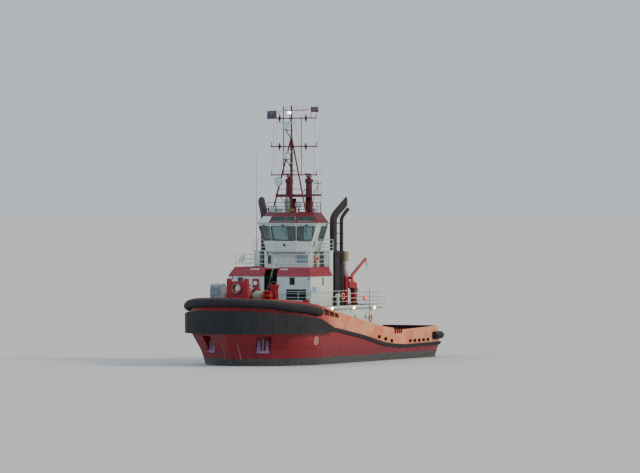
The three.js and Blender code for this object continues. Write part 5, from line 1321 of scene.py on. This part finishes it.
class TugMast(bpy.types.Operator):
    """Build lamps, aerials, halyards, braces and ladders of mast and towers"""

    bl_idname = "tug.mast_gear"
    bl_label = "Mast gear"

    def execute(self, context):
        lines, bars, pale, dark, lit = Form(), Form(), Form(), Form(), Form()
        x = MAST_X
        # Halyards from the yards down, then the stays, aerials and whips.
        for y, low, high in ((-2.0, 18.6, 24.2), (-1.62, 18.6, 24.2), (2.5, 18.6, 24.2), (1.9, 16.6, 18.6)):
            lines.tube([(x - 0.02, y, low), (x - 0.02, y, high)], 0.012, 5)
        for side in (1, -1):
            lines.tube([(x, side * 0.1, 24.9), (x - 0.4, side * 2.05, 15.9)], 0.012, 5)
        bars.tube([(3.9, 1.7, 25.02), (3.9, 3.05, 25.47)], [0.03, 0.018], 6)
        bars.tube([(4.0, -1.5, 24.7), (4.0, -0.75, 25.2)], 0.022, 6)
        lines.tube([(x, 2.77, 21.5), (x, 3.2, 22.75)], [0.02, 0.008], 6)
        for z in [15.2 + 0.32 * i for i in range(22)]:
            bars.staple((x - 0.1, -0.16, z), (x - 0.1, 0.16, z), (-0.14, 0, 0), 0.012, 5)
        for z in (17.2, 19.0, 20.8):
            share = (22.4 - z) / 7.5
            bars.tube([(x + 0.5 * share, 1.85 * share, z), (x + 0.5 * share, -1.85 * share, z)], 0.03, 6)
        for y in (0.6, 1.2, -0.5):
            bars.tube([(x, y, 25.05), (x, y, 25.32)], 0.016, 5)
        lines.tube([(3.5, -4.08, 11.1), (3.5, -4.08, 15.0), (3.5, -4.08, 21.3)], [0.03, 0.02, 0.008], 6)
        lines.tube([(2.5, 2.58, 14.86), (2.5, 2.58, 19.5)], [0.022, 0.006], 6)
        bars.piece("mast_aerials_and_bars", mast_enamel())
        lines.piece("mast_halyards", moulded_plastic("Black polyester halyard", linear("#22262a"), 0.9))
        for z in (20.15, 23.06):
            pale.turned([(0.29, 0.02), (0.3, 0.08), (0.3, 0.44), (0.27, 0.53)], (5.05, 0, z), UP, 24)
        for z in (21.42, 24.23):
            for y in (-1.32, 1.59):
                dark.turned([(0.02, -0.395), (0.15, 0.0), (0.02, 0.395)], (x, y, z), UP, 16)
        for y in (0.6, 1.2):
            pale.turned([(0.05, 0), (0.13, 0.03), (0.12, 0.12), (0.0, 0.17)], (x, y, 25.32), UP, 16)
        dome = [(0.08, 0), (0.2, 0.05), (0.2, 0.28), (0.1, 0.4), (0.0, 0.42)]
        pale.turned(dome, (2.3, -2.05, 14.9), UP, 20)
        pale.slab((4.1, -2.15, 14.92), (4.6, -1.45, 15.55), 0.05)
        pale.slab((4.0, -1.35, 14.92), (4.4, -0.8, 15.3), 0.05)
        pale.slab((2.6, 1.9, 14.92), (3.1, 2.3, 15.3), 0.04)
        for z in (19.6, 22.2, 23.9):
            dark.turned([(0.09, 0), (0.1, 0.03), (0.1, 0.06), (0.075, 0.07)], (x + 0.22, 0, z), UP, 14)
            pale.turned([(0.075, 0.07), (0.075, 0.21), (0.06, 0.22)], (x + 0.22, 0, z), UP, 14)
            dark.turned([(0.09, 0.22), (0.09, 0.27), (0.0, 0.29)], (x + 0.22, 0, z), UP, 14)
            dark.tube([(x + 0.05, 0, z + 0.02), (x + 0.22, 0, z + 0.02)], 0.03, 6)
        lit.turned([(0.172, 0.0), (0.178, 0.02), (0.178, 0.24), (0.172, 0.26)], (4.4, 0, 24.64), UP, 20)
        for side in (1, -1):
            y = side * MONITOR_SIDE
            dark.tube([(MONITOR_X, y + side * 0.38, 15.6), (MONITOR_X + 0.35, side * 1.9, 16.5)], 0.035, 6)
            dark.torus((MONITOR_X, y, 17.85), UP, 0.4, 0.03, 28, 8)
            for z in [15.1 + 0.32 * i for i in range(9)]:
                dark.staple((1.86, y - 0.14, z), (1.86, y + 0.14, z), (-0.12, 0, 0), 0.012, 5)
        for brace in (
            ((3.7, 1.0, 16.7), (3.7, 1.75, 17.45)), ((3.2, 2.1, 16.75), (3.2, 2.5, 17.4)),
            ((MONITOR_X, 1.6, 17.75), (MONITOR_X, 2.5, 17.75)),
        ):
            dark.tube(brace, 0.035, 6)
        cowl = Form()
        for y, path, radii in (
            (0.0, ((3.25, 14.88), (3.25, 15.6), (3.3, 15.9), (3.45, 16.1)), [0.16, 0.16, 0.2, 0.3]),
            (1.65, ((3.1, 14.88), (3.1, 15.7), (3.15, 15.95), (3.3, 16.15)), [0.14, 0.14, 0.18, 0.27]),
        ):
            cowl.tube([(x, y, z) for x, z in path], radii, 16)
        cowl.piece("roof_cowls", mast_enamel())
        pale.piece("radar_housings_and_boxes", radar_gelcoat())
        dark.piece("mast_lamp_bodies", lamp_black())
        lit.piece("mast_lit_lamps", lamp_glow("Lit white lamp lens", "#f4f6f0", 3.0))
        horn = Form()
        bell = [(0.02, 0), (0.04, 0.25), (0.07, 0.4), (0.14, 0.5), (0.15, 0.52)]
        for y in (-0.12, 0.12):
            horn.turned(bell, (4.35, 0.55 + y, 15.1), (1, 0, 0.05), 18)
        horn.slab((4.25, 0.35, 14.9), (4.4, 0.75, 15.2), 0.02)
        horn.piece("whistle_horns", cast_bronze())
        for side, name in ((1, "monitor_port"), (-1, "monitor_starboard")):
            valve = Form()
            y = side * MONITOR_SIDE
            flange = [(0.2, 0.0), (0.22, 0.03), (0.22, 0.08), (0.14, 0.12), (0.14, 0.18)]
            valve.turned(flange, (MONITOR_X, y, 18.202), UP, 20)
            for way in (1, -1):
                out, wheel = (0, way, 0), y + way * 0.27
                boss = [(0.05, 0.0), (0.09, 0.02), (0.09, 0.05), (0.04, 0.07)]
                valve.turned(boss, (MONITOR_X, y + way * 0.16, 18.66), out, 16)
                valve.torus((MONITOR_X, wheel, 18.4), out, 0.11, 0.014, 20, 6)
                valve.tube([(MONITOR_X, y + way * 0.15, 18.4), (MONITOR_X, y + way * 0.28, 18.4)], 0.03, 8)
                valve.tube([(MONITOR_X, wheel, 18.29), (MONITOR_X, wheel, 18.51)], 0.01, 6)
            valve.piece(name + "_valves", mast_enamel(), name)
        for name, place, radius in (
            ("searchlight_port", (4.5, 1.1, 15.62), 0.32),
            ("searchlight_starboard", (4.85, -0.894, 17.94), 0.4),
        ):
            face, rim = Form(), Form()
            face.turned([(radius * 0.93, 0.2), (radius * 0.9, 0.215), (0.0, 0.22)], place, FORE, 28)
            rim.torus(Vector(place) + Vector((0.2, 0, 0)), FORE, radius * 0.96, 0.028, 32, 8)
            rim.button(0.045, 0.2, 0.25, 0.26, place, FORE, 14)
            face.piece(name + "_lens", gelcoat("Lamp glass", linear("#b4cfdc"), 0.1), name)
            rim.piece(name + "_rim", lamp_black(), name)
        return {"FINISHED"}


class TugFunnels(bpy.types.Operator):
    """Build clamps, rungs, cap plates, louvres and doors of the funnels"""

    bl_idname = "tug.funnel_gear"
    bl_label = "Funnel gear"

    def execute(self, context):
        gear = Form()
        for side in (1, -1):
            for z in (11.12, 11.8, 12.8, 13.8):
                gear.torus((2.24, side * 3.82, z), UP, 0.365, 0.02, 32, 6)
                gear.torus((0.62, side * 3.93, z), UP, 0.195, 0.016, 24, 6)
            for i in range(16):
                z = 6.0 + 0.32 * i
                y = side * 4.2
                gear.staple((2.45, y, z), (2.05, y, z), (0, side * 0.14, 0), 0.014, 5)
            gear.slab((0.75, side * 4.1 - 0.04, 6.3), (1.35, side * 4.1 + 0.05, 7.9), 0.02)
            for z in (6.5, 7.1, 7.7):
                gear.tube([(0.8, side * 4.13, z), (0.95, side * 4.19, z)], 0.02, 6)
            for i in range(8):
                z = 9.3 + 0.16 * i
                gear.slab((0.6, side * 4.1 - 0.02, z), (1.4, side * 4.1 + 0.045, z + 0.06), 0.01)
            gear.slab((0.40, side * 3.7 - 0.48, 10.98), (2.64, side * 3.7 + 0.46, 11.06), 0.02)
        gear.piece("funnel_clamps_and_rungs", soot_paint())
        return {"FINISHED"}


class TugCrane(bpy.types.Operator):
    """Build the crane's ram, pipes, hook and foot bolts"""

    bl_idname = "tug.crane_gear"
    bl_label = "Crane gear"

    def execute(self, context):
        ram, wire, pipes = Form(), Form(), Form()
        x, y = CRANE_AXIS
        tip = Vector((-4.625, y, 10.23))
        root = Vector((-0.885, y, 8.3))
        along = (tip - root).normalized()
        up = Vector((along.z, 0, -along.x))
        for share in (0.12, 0.5, 0.92):
            spot = root.lerp(tip, share) + up * 0.16
            clamp = Vector((0.05, 0.06, 0.05))
            ram.slab(spot - clamp, spot + clamp, 0.01)
        for start, end, radius in ((0.12, 0.55, 0.06), (0.55, 0.9, 0.035)):
            ram.tube([root.lerp(tip, share) + up * 0.2 for share in (start, end)], radius, 10)
        ram.piece("boom_ram", bare_steel(), "crane_boom")
        foot = tip + Vector((-0.06, 0, -0.42))
        wire.tube([foot, foot + Vector((0, 0, -0.35))], 0.03, 8)
        hook = []
        for i in range(11):
            angle = math.radians(100 + 24 * i)
            hook.append(foot + Vector((0.11 * math.cos(angle), 0, -0.45 + 0.11 * math.sin(angle))))
        wire.tube(hook, 0.028, 8)
        wire.turned([(0.06, 0), (0.09, 0.06), (0.06, 0.14)], foot + Vector((0, 0, -0.2)), UP, 12)
        wire.piece("crane_hook", bare_steel(), "crane_boom")
        for run in (3.92, 4.38):
            pipes.tube([(x, run, 7.3), (-1.6, run, 7.7), (-1.3, run, 8.05), (-1.0, run, 8.2)], 0.022, 6)
        pipes.torus((x, y, 7.16), UP, 0.425, 0.025, 32, 6)
        pipes.piece("crane_pipes", bare_steel(), "crane_column")
        bolts = Form()
        for u, v in circle(14, 0.45):
            bolts.button(0.03, 0, 0.04, 0.045, (x + u, y + v, 5.77), UP, 6)
        bolts.torus((x, y, 6.93), UP, 0.345, 0.03, 30, 8)
        bolts.piece("crane_foot_bolts", bare_steel())
        return {"FINISHED"}


class TugCloth(bpy.types.Operator):
    """Build the two flags and the reel's canvas cover"""

    bl_idname = "tug.cloth"
    bl_label = "Flags and canvas"

    def execute(self, context):
        port = bunting("Blue-grey flag bunting", 24.82, 25.34, "#74404c", "#5c6474")
        starboard = bunting("Grey flag bunting", 24.18, 25.0, "#3e4955", "#4b5764")
        columns, rows = 30, 10
        for name, material, side, low, length, drop, hoist in (
            ("flag_port", port, 1, 24.82, 0.88, 0.52, 2.142),
            ("flag_starboard", starboard, -1, 24.18, 1.05, 0.82, -1.752),
        ):
            step = length / columns
            line = [(0.0, 0.0)]
            for i in range(columns):
                lean = 0.55 * math.sin(2.6 * math.pi * (i + 0.5) / columns) * min(1.0, i / 6)
                reach, sway = line[-1]
                line.append((reach + step * math.cos(lean), sway + step * math.sin(lean)))
            points = [
                (3.8 + sway * 0.9, hoist + side * reach, low + drop * j / rows - 0.05 * (reach / length) ** 2)
                for j in range(rows + 1) for reach, sway in line
            ]
            cloth = Form()
            cloth.add(points, grid(columns, rows))
            made = cloth.piece(name + "_cloth", material, smooth=80, replaces=(name,))

        x0, x1, y0, y1, floor, top = 10.9, 12.1, -4.9, -3.65, 5.66, 7.94
        middle, half = (x0 + x1) / 2, (x1 - x0) / 2
        shoulder = top - half * 0.8
        leg = [floor + (shoulder - floor) * i / 8 for i in range(9)]
        turns = [math.pi * i / 14 for i in range(1, 14)]
        profile = [(x0, z) for z in leg]
        profile += [(middle - half * math.cos(a), shoulder + (top - shoulder) * math.sin(a)) for a in turns]
        profile += [(x1, z) for z in reversed(leg)]
        count, rows = len(profile), 12
        cover = Form()
        points, faces = [], grid(count - 1, rows)
        for j in range(rows + 1):
            for x, z in profile:
                y = y0 + (y1 - y0) * j / rows
                sink = 0.03 + 0.025 * noise.noise(Vector((x * 2.2, y * 2.2, z * 1.1)))
                inward = Vector((middle - x, 0, (floor + top) / 2 - z)).normalized() * sink
                points.append((x + inward.x, y, z + inward.z * (z > floor + 0.2)))
        for j, y in ((0, y0), (rows, y1)):
            start = len(points)
            for i in range(count):
                x, _, z = points[j * count + i]
                points.append((middle + (x - middle) * 0.55, y, floor + (z - floor) * 0.62))
            points.append((middle, y, floor))
            for i in range(count - 1):
                a, b = j * count + i, start + i
                faces.append((a, a + 1, b + 1, b))
                faces.append((b, b + 1, start + count))
        cover.add(points, faces)
        made = cover.piece("reel_canvas", proofed_canvas(), smooth=50, replaces=("reel_cover",))
        lashing = Form()
        for z in (6.1, 6.9):
            around = upright(x0 - 0.01, x1 + 0.01, y0 - 0.02, y1 + 0.02)
            lashing.tube([(x, y, z) for x, y in around], 0.014, 6, closed=True)
        lashing.piece("reel_cover_lashing", laid_rope())
        return {"FINISHED"}


def stand(context, name, data, turn, place=(0, 0, 0)):
    """Puts a camera or a lamp into the scene, turned by a quaternion."""
    made = bpy.data.objects.new(name, data)
    made.location = place
    made.rotation_mode = "QUATERNION"
    made.rotation_quaternion = turn
    context.scene.collection.objects.link(made)
    return made


class TugStage(bpy.types.Operator):
    """Make the floor, the soft light and the camera"""

    bl_idname = "tug.stage"
    bl_label = "Stage"

    def execute(self, context):
        size = sizes()
        reach = size.floor_reach
        mesh = bpy.data.meshes.new("floor")
        square = [(x, y, 0) for x, y in upright(-reach, reach, -reach, reach)]
        mesh.from_pydata(square, [], [(0, 1, 2, 3)])
        floor = bpy.data.objects.new("floor", mesh)
        mesh.materials.append(studio_floor())
        context.scene.collection.objects.link(floor)
        bearing = size.camera_bearing
        right = Vector((-math.sin(bearing), math.cos(bearing), 0))
        target = right * 1.13 + Vector((0, 0, 12.45))
        eye = Vector((math.cos(bearing), math.sin(bearing), 0)) * size.camera_distance
        eye.z = size.camera_height
        data = bpy.data.cameras.new("camera")
        data.sensor_width = SENSOR_MM
        data.lens = SENSOR_MM * FOCAL_LENGTH / PHOTO_WIDTH
        data.clip_start, data.clip_end = 1.0, 9000.0
        turn = (target - eye).to_track_quat("-Z", "Y")
        context.scene.camera = stand(context, "camera", data, turn, eye)
        world = bpy.data.worlds.new("studio")
        world.use_nodes = True
        sky = world.node_tree.nodes["Background"].inputs
        sky["Color"].default_value = linear("#d3d9e0")
        sky["Strength"].default_value = 0.95
        context.scene.world = world
        for name, place, strength, spread, tint in (
            ("key", (-8, 75, 42), 2.6, 0.35, "#ffe0c2"),
            ("fill", (70, -40, 55), 0.9, 0.7, "#e2eaff"),
        ):
            data = bpy.data.lights.new(name, "SUN")
            data.energy = strength
            data.angle = spread
            data.color = linear(tint)[:3]
            stand(context, name, data, Vector(place).to_track_quat("Z", "Y"))
        return {"FINISHED"}


STEPS = (
    TugFinishes, TugWheelhouse, TugHouses, TugFenders, TugHullMarks, TugForedeck, TugAftDeck, TugMast,
    TugFunnels, TugCrane, TugCloth, TugStage,
)


class TugPanel(bpy.types.Panel):
    """Lists what can be rebuilt on the tug"""

    bl_idname = "VIEW3D_PT_tug"
    bl_label = "Tug"
    bl_space_type = "VIEW_3D"
    bl_region_type = "UI"
    bl_category = "Tug"

    def draw(self, context):
        for step in STEPS:
            self.layout.operator(step.bl_idname)
        for group in (context.scene.tug_sizes, context.scene.tug_paint):
            for name in group.bl_rna.properties.keys():
                if name not in {"rna_type", "name"}:
                    self.layout.prop(group, name)


CLASSES = (TugPaint, TugSizes, *STEPS, TugPanel)


def register():
    for made in CLASSES:
        bpy.utils.register_class(made)
    bpy.types.Scene.tug_paint = PointerProperty(type=TugPaint)
    bpy.types.Scene.tug_sizes = PointerProperty(type=TugSizes)


def unregister():
    del bpy.types.Scene.tug_sizes
    del bpy.types.Scene.tug_paint
    for made in reversed(CLASSES):
        bpy.utils.unregister_class(made)


def main():
    register()
    for step in STEPS:
        group, operator = step.bl_idname.split(".")
        getattr(getattr(bpy.ops, group), operator)()


if __name__ == "__main__":
    main()
